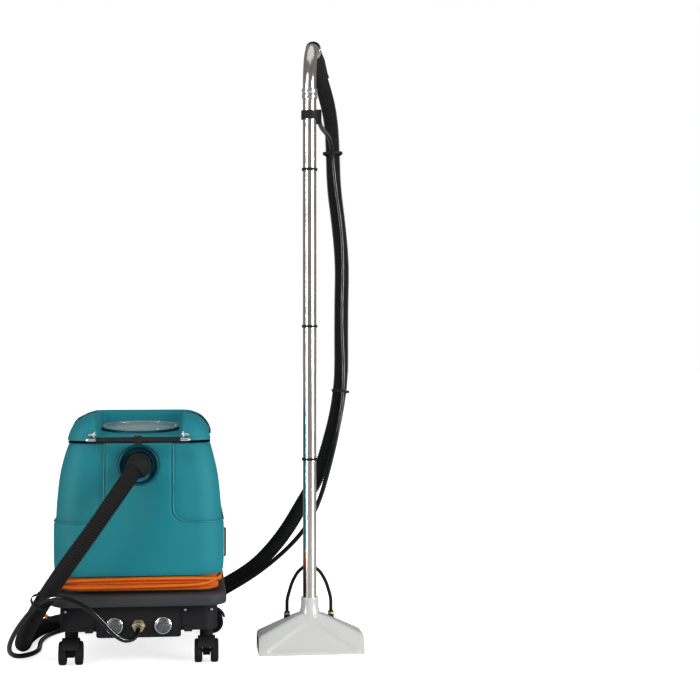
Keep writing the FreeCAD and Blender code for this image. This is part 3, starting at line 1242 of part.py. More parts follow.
def nearest_on_route(route, point):
    """The nearest point of a route's straight runs to a point, and the run's end."""
    best = None
    for a, b in zip(route, route[1:]):
        start, end = Vector(a), Vector(b)
        share = max(0.0, min(1.0, (Vector(point) - start).dot(end - start) / (end - start).Length ** 2))
        near = start + (end - start) * share
        gap = (near - Vector(point)).Length
        if best is None or gap < best[0]:
            best = (gap, near, near + (end - start))
    return best[1], best[2]


def hose_ties():
    """The ties that bundle the two hoses."""
    ties = []
    for place in TIE_PLACES:
        near, ahead = nearest_on_route(VAC_ROUTE, place)
        solution, _ = nearest_on_route(SOLUTION_ROUTE, near)
        ties.append(hose_tie(near, ahead, solution))
    return ties


# ---- write every node ------------------------------------------------------------------------
def main():
    """Build and write every node."""
    save("chassis", chassis())
    save("bumper_tray", bumper_tray())
    save("cord_neck", cord_neck())
    build_casters()
    save("solution_tank", solution_tank())
    save("recovery_tank", recovery_tank())
    save("tank_gasket", tank_gasket())
    save("port_boss", port_boss())
    save("inlet_elbow", inlet_elbow())
    save("tank_lid", tank_lid())
    save("dome_collar", dome_collar())
    save("inspection_dome", dome_shell())
    save("bail_lugs", bail_lugs())
    save("carry_bail", carry_bail())
    save("bail_grip", bail_grip())
    save("float_cage", float_cage())
    save("float_ball", float_ball())
    save("vacuum_motor", vacuum_motor())
    save("motor_rotor", motor_rotor())
    save("exhaust_duct", exhaust_duct())
    save("pump", pump())
    save("supply_line", supply_line())
    save("terminal_box", terminal_box())
    save("cord_gland", cord_gland())
    save("switch_housings", switch_housings())
    for name, x in control_xs().items():
        if name != "coupler":
            save(f"{name}_rocker", switch_rocker(x))
    save("switch_boots", switch_boots())
    save("coupler_body", coupler_body())
    save("coupler_collar", coupler_collar())
    save("hose_tail", hose_tail())
    save("drain_outlet", drain_outlet())
    save("drain_cap", drain_cap())
    save("level_tube", level_tube())
    save("floor_head", floor_head())
    save("head_glide", head_glide())
    save("spray_jets", spray_jets())
    save("jet_lines", jet_lines())
    save("wand_line", wand_line())
    save("wand_tube", wand_tube())
    save("joint_ring", joint_ring())
    save("wand_bend", wand_bend())
    save("hose_cuff", hose_cuff())
    save("valve_body", valve_body())
    save("valve_trigger", valve_trigger())
    save("wand_ties", wand_ties())
    save("vacuum_hose", route_tube("vacuum_hose", VAC_ROUTE, VAC_HOSE_DIAMETER))
    save("solution_hose", route_tube("solution_hose", SOLUTION_ROUTE, SOLUTION_HOSE_DIAMETER))
    save("hose_ties", hose_ties())
    save("cord_winding", cord_winding())
    save("cord_lead", route_tube("cord_lead", LEAD_ROUTE, CORD_DIAMETER))
    save("cord_tail", route_tube("cord_tail", TAIL_ROUTE, CORD_DIAMETER))
    save("mains_plug", mains_plug())


main()
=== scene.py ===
"""Looks of the spray extraction carpet cleaner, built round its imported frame.

Units are metres. Shapes are worked out about the machine's own centre on the floor and are moved
to the frame's origin as each mesh is made. +X is the right, -Y the front and +Z up.
"""
import logging
import math
from dataclasses import dataclass, field
from enum import Enum

import bpy
import numpy as np
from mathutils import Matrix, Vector


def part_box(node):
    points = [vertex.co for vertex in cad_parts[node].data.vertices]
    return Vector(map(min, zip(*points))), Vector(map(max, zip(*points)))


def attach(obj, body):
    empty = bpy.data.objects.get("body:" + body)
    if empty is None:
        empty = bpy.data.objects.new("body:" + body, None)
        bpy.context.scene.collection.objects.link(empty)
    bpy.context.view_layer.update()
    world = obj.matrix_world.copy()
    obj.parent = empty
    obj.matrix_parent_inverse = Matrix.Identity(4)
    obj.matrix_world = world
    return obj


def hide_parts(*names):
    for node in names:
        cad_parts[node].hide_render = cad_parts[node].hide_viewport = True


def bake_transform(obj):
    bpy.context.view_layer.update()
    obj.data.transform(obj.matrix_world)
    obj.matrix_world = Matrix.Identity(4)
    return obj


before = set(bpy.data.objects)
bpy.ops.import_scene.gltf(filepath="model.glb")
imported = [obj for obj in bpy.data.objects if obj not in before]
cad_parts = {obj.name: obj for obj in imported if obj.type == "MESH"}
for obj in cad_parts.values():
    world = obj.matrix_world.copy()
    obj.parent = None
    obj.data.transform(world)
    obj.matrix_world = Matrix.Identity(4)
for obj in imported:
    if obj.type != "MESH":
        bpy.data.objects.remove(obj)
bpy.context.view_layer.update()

LOG = logging.getLogger("carpet_cleaner")
TAU = 2 * math.pi
Array = np.ndarray
Point = tuple[float, float, float]


# ---- shapes worked out as whole arrays ---------------------------------------------------------
def unit(vectors: Array) -> Array:
    """Vectors scaled to length one.

    Args:
        vectors: Any array whose last axis holds x, y and z.

    Returns:
        The same directions, each of length one.
    """
    return vectors / np.maximum(np.linalg.norm(vectors, axis=-1, keepdims=True), 1e-12)


def ease(value: Array, low: float, high: float) -> Array:
    """A smooth step: 0 up to low, 1 past high, 3t^2 - 2t^3 between.

    Args:
        value: The numbers to step.
        low: Where the step starts; it may be above high, and the step then falls.
        high: Where the step ends.

    Returns:
        Numbers from 0 to 1.
    """
    t = np.clip((np.asarray(value, float) - low) / (high - low), 0, 1)
    return t * t * (3 - 2 * t)


def chaikin(points: list[tuple[float, ...]], times: int = 2) -> Array:
    """Corner cutting: each run gives way to its quarter and three-quarter points, ends kept.

    Args:
        points: The corners of an open line.
        times: How often the corners are cut.

    Returns:
        The smoothed line's points.
    """
    line = np.array(points, float)
    for _ in range(times):
        near = 0.75 * line[:-1] + 0.25 * line[1:]
        far = 0.25 * line[:-1] + 0.75 * line[1:]
        cut = np.stack([near, far], axis=1).reshape(-1, line.shape[1])
        line = np.concatenate([line[:1], cut, line[-1:]])
    return line


def net_faces(rows: int, columns: int, wrap_rows: bool = False) -> Array:
    """Four-cornered faces of a net of points whose columns close on themselves.

    Args:
        rows: How many rows of points.
        columns: How many points in each row.
        wrap_rows: Whether the last row joins the first.

    Returns:
        Point numbers, four to a face.
    """
    r = np.arange(rows if wrap_rows else rows - 1)[:, None]
    c = np.arange(columns)[None, :]
    up, right = (r + 1) % rows, (c + 1) % columns
    corners = [r * columns + c, r * columns + right, up * columns + right, up * columns + c]
    return np.stack(corners, axis=-1).reshape(-1, 4)


def signed_volume(points: Array, faces: list[Array]) -> float:
    """Volume inside closed faces, positive when they point outwards: a sixth of the triple products.

    Args:
        points: Corner places.
        faces: Arrays of point numbers, three or four to a face.

    Returns:
        The volume with its sign.
    """
    total = 0.0
    for group in faces:
        corner = points[group]
        for k in range(1, group.shape[1] - 1):
            cross = np.cross(corner[:, k], corner[:, k + 1])
            total += float(np.einsum("ij,ij->", corner[:, 0], cross)) / 6
    return total


@dataclass
class Solid:
    """Closed shells gathered for one mesh."""

    points: list[Array] = field(default_factory=list)
    faces: list[Array] = field(default_factory=list)
    count: int = 0

    def add(self, points: Array, faces: list[Array]) -> "Solid":
        """Adds one closed shell, turned so that its faces point outwards.

        Args:
            points: The shell's corners.
            faces: Its faces, as point numbers.

        Returns:
            This solid, so that calls can be chained.
        """
        centred = points - points.mean(axis=0)
        if signed_volume(centred, faces) < 0:
            faces = [group[:, ::-1] for group in faces]
        self.points.append(points)
        self.faces.extend(group + self.count for group in faces)
        self.count += len(points)
        return self

    def loft(self, rings: Array) -> "Solid":
        """Adds a shell through rings of points, closed at both ends by a fan to the ring's middle.

        Args:
            rings: Points as rows x columns x 3.

        Returns:
            This solid.
        """
        rows, columns = rings.shape[:2]
        points = np.concatenate([rings.reshape(-1, 3), rings[0].mean(0)[None], rings[-1].mean(0)[None]])
        near = np.arange(columns)
        step = (near + 1) % columns
        first = np.stack([np.full(columns, rows * columns), step, near], axis=1)
        base = (rows - 1) * columns
        last = np.stack([np.full(columns, rows * columns + 1), base + near, base + step], axis=1)
        return self.add(points, [net_faces(rows, columns), first, last])

    def hoop(self, rings: Array) -> "Solid":
        """Adds a shell whose rows close on themselves as its columns do, like a tyre.

        Args:
            rings: Points as rows x columns x 3.

        Returns:
            This solid.
        """
        rows, columns = rings.shape[:2]
        return self.add(rings.reshape(-1, 3), [net_faces(rows, columns, wrap_rows=True)])


def axis_frame(direction: Point) -> tuple[Array, Array, Array]:
    """Two side directions and the axis itself, square to each other."""
    axis = unit(np.array(direction, float))
    helper = np.array([0.0, 0.0, 1.0]) if abs(axis[2]) < 0.9 else np.array([1.0, 0.0, 0.0])
    side = unit(np.cross(helper, axis))
    return side, np.cross(axis, side), axis


def turned(profile: Array, centre: Point, axis: Point, sides: int = 48) -> Array:
    """Rings of a turned shape: each (radius, height) pair goes round the axis as a circle.

    Args:
        profile: Radius and height pairs.
        centre: Where height 0 lies on the axis.
        axis: The axis direction.
        sides: Points in each circle.

    Returns:
        Points as rows x columns x 3.
    """
    side, other, along = axis_frame(axis)
    profile = np.asarray(profile, float)
    angle = np.arange(sides) * TAU / sides
    circle = np.cos(angle)[:, None] * side + np.sin(angle)[:, None] * other
    return np.array(centre) + profile[:, 0, None, None] * circle + profile[:, 1, None, None] * along


def carried(path: Array, radius: Array | float, sides: int = 16, flat: float = 1.0) -> Array:
    """Rings of a tube along a path: a circle carried square to the path with the least twist.

    Args:
        path: The points of the centre line.
        radius: One radius, or one for each point.
        sides: Points in each ring.
        flat: The ring's second half-width as a share of its first.

    Returns:
        Points as rows x columns x 3.
    """
    path = np.asarray(path, float)
    tangent = unit(np.gradient(path, axis=0))
    side = axis_frame(tuple(tangent[0]))[0]
    sideways = [side]
    for direction in tangent[1:]:
        side = unit(side - direction * float(side @ direction))
        sideways.append(side)
    first = np.array(sideways)
    second = np.cross(tangent, first)
    angle = np.arange(sides) * TAU / sides
    wide = np.broadcast_to(np.asarray(radius, float), (len(path),))[:, None, None]
    ring = (np.cos(angle)[None, :, None] * first[:, None] + flat * np.sin(angle)[None, :, None]
            * second[:, None])
    return path[:, None] + wide * ring


def knurled(rings: Array, profile: Array, centre: Point, depth: float, ribs: int,
            rise: tuple[float, float], edge: float) -> Array:
    """Grooves pressed into the widest band of a shape that is turned about Y.

    Args:
        rings: The turned points.
        profile: The profile that was turned, radius first.
        centre: A point on the axis.
        depth: How deep the grooves are; below zero, teeth stand out instead.
        ribs: How many go round.
        rise: The two cosines between which a groove's side rises.
        edge: The radius past which the profile is grooved.

    Returns:
        The moved points, in the same arrangement.
    """
    angle = np.arange(rings.shape[1]) * TAU / rings.shape[1]
    away = rings - np.array([centre[0], 0.0, centre[2]])
    away[..., 1] = 0.0
    groove = depth * ease(np.cos(angle * ribs), *rise)
    return rings - unit(away) * groove[None, :, None] * (profile[:, 0, None, None] > edge)


def even_path(points: Array, count: int) -> Array:
    """A line walked at even steps of its own length.

    Args:
        points: The line's points.
        count: How many points to give back.

    Returns:
        The evenly spaced points.
    """
    points = np.asarray(points, float)
    run = np.concatenate([[0], np.cumsum(np.linalg.norm(np.diff(points, axis=0), axis=1))])
    wanted = np.linspace(0, run[-1], count)
    return np.stack([np.interp(wanted, run, points[:, k]) for k in range(3)], axis=1)


def line_length(points: Array) -> float:
    """Length of a line of points."""
    return float(np.linalg.norm(np.diff(points, axis=0), axis=1).sum())


@dataclass(frozen=True)
class Outline:
    """A rectangle with round corners, held as weights so that one set of columns fits any size.

    A column lies at x = cx (half_w - r) + ca r and y = cy (half_d - r) + sa r, so on a corner
    (ca, sa) is its outward direction, and along a side only cx or cy changes.
    """

    across: int = 24
    along: int = 24
    corner: int = 12

    def weights(self) -> tuple[Array, Array, Array, Array]:
        """The columns' cx, cy, ca and sa, going round once from +X towards +Y."""
        rows = []
        signs = ((1, 1), (-1, 1), (-1, -1), (1, -1))
        for quarter, (sx, sy) in enumerate(signs):
            angle = (quarter + np.arange(self.corner) / self.corner) * TAU / 4
            ones = np.ones(self.corner)
            rows.append(np.stack([sx * ones, sy * ones, np.cos(angle), np.sin(angle)], axis=1))
            count = self.across if quarter % 2 == 0 else self.along
            nx, ny = signs[(quarter + 1) % 4]
            blend = np.arange(count) / count
            end = (quarter + 1) * TAU / 4
            fixed = np.ones(count)
            side = [sx + (nx - sx) * blend, sy + (ny - sy) * blend, math.cos(end) * fixed,
                    math.sin(end) * fixed]
            rows.append(np.stack(side, axis=1))
        return tuple(np.concatenate(rows).T)

    def rings(self, half_w: Array, half_d: Array, radius: Array, height: Array) -> Array:
        """Rings of points, one for each set of sizes.

        Args:
            half_w: Half widths, one for each ring.
            half_d: Half depths.
            radius: Corner radii.
            height: Heights.

        Returns:
            Points as rings x columns x 3.
        """
        cx, cy, ca, sa = self.weights()
        half_w, half_d, radius, height = np.broadcast_arrays(half_w, half_d, radius, height)
        w, d, r, z = (np.asarray(v, float)[:, None] for v in (half_w, half_d, radius, height))
        x = cx * (w - r) + ca * r
        y = cy * (d - r) + sa * r
        return np.stack([x, y, np.broadcast_to(z, x.shape)], axis=-1)

    def outward(self) -> Array:
        """Each column's outward direction."""
        _, _, ca, sa = self.weights()
        return np.stack([ca, sa, np.zeros_like(ca)], axis=1)


def soft_block(half: Point, centre: Point, edge: float, corner: float = 0.0, detail: int = 4) -> Array:
    """Rings of a block with round upright corners and rounded top and bottom edges.

    Args:
        half: Half sizes along X, Y and Z.
        centre: Its middle.
        edge: Radius of the top and bottom edges.
        corner: Radius of the upright corners, at least the edge's.
        detail: Rings in each rounded edge.

    Returns:
        Points as rings x columns x 3.
    """
    angle = np.linspace(0, TAU / 4, detail + 1)
    inset = np.concatenate([[edge * 2.5], edge * (1 - np.sin(angle)), (edge * (1 - np.sin(angle)))[::-1],
                            [edge * 2.5]])
    rise = np.concatenate([[0], edge * (1 - np.cos(angle)), 2 * half[2] - (edge * (1 - np.cos(angle)))[::-1],
                           [2 * half[2]]])
    radius = max(corner, edge * 1.02)
    inset = np.minimum(inset, min(half[0], half[1]) * 0.9)
    rings = Outline(4, 4, 6).rings(
        half[0] - inset, half[1] - inset, np.maximum(radius - inset, 1e-4), rise - half[2]
    )
    return rings + np.array(centre)


# ---- shader groups -----------------------------------------------------------------------------
class Wire:
    """Short ways to add and join nodes in one node tree."""

    def __init__(self, tree: bpy.types.NodeTree) -> None:
        """Keeps the tree."""
        self.tree = tree

    def node(self, kind: str, inputs: dict | None = None, **settings: object) -> bpy.types.Node:
        """Adds a node.

        Args:
            kind: The node's type name.
            inputs: Socket name or number to a value, or to the socket that feeds it.
            settings: The node's own settings.

        Returns:
            The new node.
        """
        made = self.tree.nodes.new(kind)
        for name, value in settings.items():
            setattr(made, name, value)
        for name, value in (inputs or {}).items():
            if isinstance(value, bpy.types.NodeSocket):
                self.tree.links.new(value, made.inputs[name])
            else:
                made.inputs[name].default_value = value
        return made

    def math(self, operation: str, first: object, second: object = 0.0,
             clamp: bool = False) -> bpy.types.NodeSocket:
        """The result of a Math node."""
        made = self.node("ShaderNodeMath", {0: first, 1: second}, operation=operation, use_clamp=clamp)
        return made.outputs[0]

    def span(self, value: object, low: float, high: float, out_low: object,
             out_high: object) -> bpy.types.NodeSocket:
        """A value mapped from one range to another, held at its ends."""
        inputs = {"Value": value, "From Min": low, "From Max": high, "To Min": out_low, "To Max": out_high}
        return self.node("ShaderNodeMapRange", inputs).outputs["Result"]

    def blend(self, factor: object, first: object, second: object) -> bpy.types.NodeSocket:
        """Two colours mixed by a factor."""
        made = self.node("ShaderNodeMix", {0: factor, 6: first, 7: second}, data_type="RGBA")
        return made.outputs[2]


def new_group(
    name: str, inputs: dict[str, float], outputs: list[str]
) -> tuple[bpy.types.NodeTree, Wire, dict, object]:
    """A shader node group with named numbers in and out.

    Args:
        name: The group's name.
        inputs: Input names and their usual values.
        outputs: Output names.

    Returns:
        The group, its wiring, its input sockets by name and its output node.
    """
    tree = bpy.data.node_groups.new(name, "ShaderNodeTree")
    for label, value in inputs.items():
        tree.interface.new_socket(label, in_out="INPUT", socket_type="NodeSocketFloat").default_value = value
    for label in outputs:
        tree.interface.new_socket(label, in_out="OUTPUT", socket_type="NodeSocketFloat")
    wire = Wire(tree)
    entry = wire.node("NodeGroupInput")
    leave = wire.node("NodeGroupOutput")
    return tree, wire, {s.name: s for s in entry.outputs if s.name}, leave


class Effects:
    """The effects that several finishes share, each a node group built once."""

    def __init__(self) -> None:
        """Builds every group."""
        self.grain = self.make_grain()
        self.mottle = self.make_mottle()
        self.scuffs = self.make_scuffs()
        self.edges = self.make_edges()
        self.drawn = self.make_drawn()

    @staticmethod
    def make_grain() -> bpy.types.NodeTree:
        """Moulded grain: fine cells with a little noise laid over them."""
        tree, wire, given, leave = new_group("moulded_grain", {"Scale": 900.0}, ["Height"])
        place = wire.node("ShaderNodeTexCoord").outputs["Object"]
        cells = wire.node("ShaderNodeTexVoronoi", {"Vector": place, "Scale": given["Scale"]},
                          feature="SMOOTH_F1")
        coarse = wire.math("MULTIPLY", given["Scale"], 0.45)
        noise = wire.node("ShaderNodeTexNoise", {"Vector": place, "Scale": coarse, "Detail": 3.0})
        height = wire.math("ADD", cells.outputs["Distance"], noise.outputs["Fac"])
        wire.tree.links.new(wire.math("MULTIPLY", height, 0.5), leave.inputs["Height"])
        return tree

    @staticmethod
    def make_mottle() -> bpy.types.NodeTree:
        """Slow change over a surface: broad noise, and a finer one at a third of its strength."""
        tree, wire, given, leave = new_group("soft_mottle", {"Scale": 9.0}, ["Mask"])
        place = wire.node("ShaderNodeTexCoord").outputs["Object"]
        broad = wire.node("ShaderNodeTexNoise", {"Vector": place, "Scale": given["Scale"], "Detail": 4.0})
        finer = wire.math("MULTIPLY", given["Scale"], 7.0)
        fine = wire.node("ShaderNodeTexNoise", {"Vector": place, "Scale": finer, "Detail": 3.0})
        both = wire.math("ADD", broad.outputs["Fac"], wire.math("MULTIPLY", fine.outputs["Fac"], 0.34))
        wire.tree.links.new(wire.span(both, 0.42, 0.92, 0.0, 1.0), leave.inputs["Mask"])
        return tree

    @staticmethod
    def make_scuffs() -> bpy.types.NodeTree:
        """Thin rubbed marks: noise stretched sideways, kept only near its middle value."""
        tree, wire, given, leave = new_group("light_scuffs", {"Scale": 14.0, "Amount": 0.3}, ["Mask"])
        place = wire.node("ShaderNodeTexCoord").outputs["Object"]
        slant = wire.node("ShaderNodeMapping",
                          {"Vector": place, "Rotation": (0.5, 0.3, 0.7), "Scale": (1.0, 9.0, 5.0)})
        lines = wire.node("ShaderNodeTexNoise",
                          {"Vector": slant.outputs[0], "Scale": given["Scale"], "Detail": 5.0})
        near = wire.math("ABSOLUTE", wire.math("SUBTRACT", lines.outputs["Fac"], 0.5))
        thin = wire.span(near, 0.0, 0.008, 1.0, 0.0)
        patch = wire.node("ShaderNodeTexNoise", {"Vector": place, "Scale": 6.0, "Detail": 2.0})
        some = wire.span(patch.outputs["Fac"], 0.52, 0.68, 0.0, 1.0)
        mask = wire.math("MULTIPLY", wire.math("MULTIPLY", thin, some), given["Amount"])
        wire.tree.links.new(mask, leave.inputs["Mask"])
        return tree

    @staticmethod
    def make_edges() -> bpy.types.NodeTree:
        """Wear along edges: where the surface turns outwards, broken up by noise."""
        tree, wire, given, leave = new_group("edge_wear", {"Amount": 0.4}, ["Mask"])
        turn = wire.node("ShaderNodeNewGeometry").outputs["Pointiness"]
        place = wire.node("ShaderNodeTexCoord").outputs["Object"]
        noise = wire.node("ShaderNodeTexNoise", {"Vector": place, "Scale": 60.0, "Detail": 4.0})
        sharp = wire.span(turn, 0.515, 0.6, 0.0, 1.0)
        broken = wire.span(noise.outputs["Fac"], 0.4, 0.65, 0.2, 1.0)
        mask = wire.math("MULTIPLY", wire.math("MULTIPLY", sharp, broken), given["Amount"], clamp=True)
        wire.tree.links.new(mask, leave.inputs["Mask"])
        return tree

    @staticmethod
    def make_drawn() -> bpy.types.NodeTree:
        """Marks of drawing and polishing along Z: noise stretched a hundred times along the tube."""
        tree, wire, given, leave = new_group("drawn_metal", {"Scale": 260.0}, ["Mask", "Height"])
        place = wire.node("ShaderNodeTexCoord").outputs["Object"]
        long = wire.node("ShaderNodeMapping", {"Vector": place, "Scale": (1.0, 1.0, 0.01)})
        lines = wire.node("ShaderNodeTexNoise",
                          {"Vector": long.outputs[0], "Scale": given["Scale"], "Detail": 4.0})
        slow = wire.node("ShaderNodeTexNoise", {"Vector": place, "Scale": 5.0, "Detail": 3.0})
        both = wire.math("ADD", lines.outputs["Fac"], wire.math("MULTIPLY", slow.outputs["Fac"], 0.5))
        wire.tree.links.new(wire.span(both, 0.5, 1.0, 0.0, 1.0), leave.inputs["Mask"])
        wire.tree.links.new(lines.outputs["Fac"], leave.inputs["Height"])
        return tree


EFFECTS = Effects()
Colour = tuple[float, float, float]


def rgba(colour: Colour) -> tuple[float, float, float, float]:
    """A colour with full alpha."""
    return (*colour, 1.0)


def started(name: str) -> tuple[bpy.types.Material, Wire, bpy.types.Node]:
    """A new node material with its Principled shader.

    Args:
        name: The material's name.

    Returns:
        The material, its wiring and the shader node.
    """
    material = bpy.data.materials.new(name)
    material.use_nodes = True
    wire = Wire(material.node_tree)
    return material, wire, material.node_tree.nodes["Principled BSDF"]


def placed(wire: Wire, group: bpy.types.NodeTree, **inputs: float) -> bpy.types.Node:
    """One use of a shader group with its own values."""
    return wire.node("ShaderNodeGroup", {name.capitalize(): v for name, v in inputs.items()}, node_tree=group)


@dataclass(frozen=True)
class Moulded:
    """A moulded plastic or rubber: mottled colour, fine grain, rubbed marks and worn edges."""

    name: str
    slot: str
    colour: Colour
    deep: Colour
    worn: Colour
    roughness: float = 0.42
    spread: float = 0.12
    grain: float = 900.0
    depth: float = 0.00006
    scuff: float = 0.3
    edge: float = 0.35
    coat: float = 0.0
    sheen_through: float = 0.0
    specular: float = 0.5

    def build(self) -> bpy.types.Material:
        """Makes the material."""
        material, wire, shader = started(self.name)
        mottle = placed(wire, EFFECTS.mottle, scale=9.0).outputs["Mask"]
        scuffs = placed(wire, EFFECTS.scuffs, scale=14.0, amount=self.scuff).outputs["Mask"]
        edges = placed(wire, EFFECTS.edges, amount=self.edge).outputs["Mask"]
        grain = placed(wire, EFFECTS.grain, scale=self.grain).outputs["Height"]
        worn = wire.math("MAXIMUM", scuffs, edges)
        body = wire.blend(mottle, rgba(self.deep), rgba(self.colour))
        tree = material.node_tree
        tree.links.new(wire.blend(worn, body, rgba(self.worn)), shader.inputs["Base Color"])
        rough = wire.span(mottle, 0.0, 1.0, self.roughness + self.spread / 2,
                          self.roughness - self.spread / 2)
        rubbed = wire.math("ADD", rough, wire.math("MULTIPLY", worn, 0.25), clamp=True)
        tree.links.new(rubbed, shader.inputs["Roughness"])
        bump = wire.node("ShaderNodeBump", {"Height": grain, "Distance": self.depth, "Strength": 1.0})
        tree.links.new(bump.outputs["Normal"], shader.inputs["Normal"])
        shader.inputs["Specular IOR Level"].default_value = self.specular
        shader.inputs["Coat Weight"].default_value = self.coat
        shader.inputs["Coat Roughness"].default_value = 0.12
        if self.sheen_through:
            shader.inputs["Subsurface Weight"].default_value = self.sheen_through
            shader.inputs["Subsurface Radius"].default_value = (0.004, 0.003, 0.003)
        return material


@dataclass(frozen=True)
class Metal:
    """Bare or plated metal with drawing marks, a slow change of tone and dulled patches."""

    name: str
    slot: str
    colour: Colour
    deep: Colour
    roughness: float = 0.18
    spread: float = 0.14
    scale: float = 260.0
    depth: float = 0.00003
    scuff: float = 0.25

    def build(self) -> bpy.types.Material:
        """Makes the material."""
        material, wire, shader = started(self.name)
        drawn = placed(wire, EFFECTS.drawn, scale=self.scale)
        scuffs = placed(wire, EFFECTS.scuffs, scale=24.0, amount=self.scuff).outputs["Mask"]
        mottle = placed(wire, EFFECTS.mottle, scale=14.0).outputs["Mask"]
        tree = material.node_tree
        tone = wire.blend(drawn.outputs["Mask"], rgba(self.deep), rgba(self.colour))
        tree.links.new(tone, shader.inputs["Base Color"])
        rough = wire.span(mottle, 0.0, 1.0, self.roughness, self.roughness + self.spread)
        rubbed = wire.math("ADD", rough, wire.math("MULTIPLY", scuffs, 0.3), clamp=True)
        tree.links.new(rubbed, shader.inputs["Roughness"])
        shader.inputs["Metallic"].default_value = 1.0
        bump = wire.node("ShaderNodeBump", {"Height": drawn.outputs["Height"], "Distance": self.depth})
        tree.links.new(bump.outputs["Normal"], shader.inputs["Normal"])
        return material


@dataclass(frozen=True)
class Clear:
    """A clear moulding with faint haze and rubbed marks."""

    name: str
    slot: str
    tint: Colour
    roughness: float = 0.06
    through: float = 1.0

    def build(self) -> bpy.types.Material:
        """Makes the material."""
        material, wire, shader = started(self.name)
        scuffs = placed(wire, EFFECTS.scuffs, scale=18.0, amount=0.35).outputs["Mask"]
        mottle = placed(wire, EFFECTS.mottle, scale=20.0).outputs["Mask"]
        tree = material.node_tree
        haze = wire.span(mottle, 0.0, 1.0, self.roughness, self.roughness + 0.05)
        tree.links.new(wire.math("ADD", haze, wire.math("MULTIPLY", scuffs, 0.4)), shader.inputs["Roughness"])
        tree.links.new(wire.blend(scuffs, rgba(self.tint), rgba((0.9, 0.9, 0.9))),
                       shader.inputs["Base Color"])
        shader.inputs["Transmission Weight"].default_value = self.through
        shader.inputs["IOR"].default_value = 1.46
        return material


class Finishes(Enum):
    """Every finish on the machine."""

    TEAL = Moulded("teal_shell", "teal_shell", (0.0, 0.180, 0.290), (0.0, 0.158, 0.258),
                   (0.03, 0.28, 0.37), 0.25, 0.06, 700.0, 0.00004, 0.12, 0.3, 0.0, 0.0, 0.07)
    # a lighter copy of the teal: painted highlight, for the thin lines along the shoulders' edges
    TEAL_EDGE = Moulded("teal_painted_highlight", "teal_shell", (0.10, 0.42, 0.50), (0.08, 0.37, 0.45),
                        (0.16, 0.50, 0.56), 0.35, 0.08, 700.0, 0.00004, 0.1, 0.0)
    # a darker copy of the teal: painted shade, for the port's recess and the dome's collar
    TEAL_DEEP = Moulded("teal_painted_shade", "teal_shell", (0.003, 0.16, 0.21), (0.002, 0.12, 0.16),
                        (0.06, 0.28, 0.34), 0.45, 0.12, 700.0, 0.00010, 0.15, 0.2)
    # blue-black tube at the hood's step: partly a seal, partly painted shade of the gap
    SEAM = Moulded("seal_and_painted_shade", "black_rubber", (0.012, 0.035, 0.04), (0.008, 0.02, 0.024),
                   (0.05, 0.07, 0.07), 0.6, 0.1, 1200.0, 0.00004, 0.1, 0.2)
    BUMPER = Moulded("bumper_grey", "bumper_grey", (0.018, 0.019, 0.022), (0.014, 0.015, 0.018),
                     (0.12, 0.12, 0.125), 0.5, 0.14, 800.0, 0.00012, 0.3, 0.5, 0.0, 0.0, 0.08)
    BLACK = Moulded("black_plastic", "black_plastic", (0.0055, 0.0055, 0.0066), (0.0035, 0.0035, 0.0045),
                    (0.04, 0.04, 0.043), 0.36, 0.12, 900.0, 0.00005, 0.25, 0.45, 0.0, 0.0, 0.05)
    RUBBER = Moulded("black_rubber", "black_rubber", (0.014, 0.014, 0.015), (0.009, 0.009, 0.010),
                     (0.05, 0.05, 0.05), 0.62, 0.14, 1400.0, 0.00005, 0.2, 0.4)
    HOSE = Moulded("hose_black", "hose_black", (0.010, 0.010, 0.011), (0.006, 0.006, 0.007),
                   (0.06, 0.06, 0.062), 0.24, 0.08, 1500.0, 0.00002, 0.3, 0.5)
    GLOSS_HOSE = Moulded("hose_gloss", "hose_black", (0.009, 0.009, 0.010), (0.006, 0.006, 0.007),
                         (0.05, 0.05, 0.05), 0.20, 0.08, 1500.0, 0.00002, 0.3, 0.2, 0.5)
    ORANGE = Moulded("cord_orange", "cord_orange", (1.0, 0.170, 0.0), (0.95, 0.130, 0.0),
                     (0.98, 0.36, 0.08), 0.30, 0.10, 1800.0, 0.00002, 0.2, 0.0, 0.0, 0.0, 0.12)
    WHITE = Moulded("white_plastic", "white_plastic", (0.90, 0.885, 0.86), (0.85, 0.835, 0.81),
                    (0.60, 0.58, 0.55), 0.38, 0.10, 800.0, 0.00006, 0.35, 0.25, 0.0, 0.05)
    GREY_WHITE = Moulded("inner_white", "white_plastic", (0.66, 0.65, 0.63), (0.60, 0.59, 0.57),
                         (0.50, 0.49, 0.47), 0.42, 0.10, 800.0, 0.00006, 0.3, 0.2)
    CLEAR = Clear("clear_plastic", "clear_plastic", (0.93, 0.95, 0.96))
    BOOT = Clear("clear_boot", "clear_plastic", (0.82, 0.84, 0.84), 0.12, 0.85)
    CHROME = Metal("chrome", "chrome", (0.86, 0.85, 0.83), (0.74, 0.73, 0.71), 0.08, 0.08, 300.0, 0.00001)
    TUBE = Metal("polished_steel", "steel", (0.72, 0.69, 0.66), (0.58, 0.55, 0.52), 0.13, 0.12)
    STEEL = Metal("plain_steel", "steel", (0.60, 0.59, 0.57), (0.48, 0.47, 0.46), 0.28, 0.16)
    BRASS = Metal("brass", "brass", (0.80, 0.58, 0.26), (0.66, 0.46, 0.20), 0.25, 0.15)

    def material(self) -> bpy.types.Material:
        """The finish's material, made when first asked for."""
        return bpy.data.materials.get(self.value.name) or self.value.build()


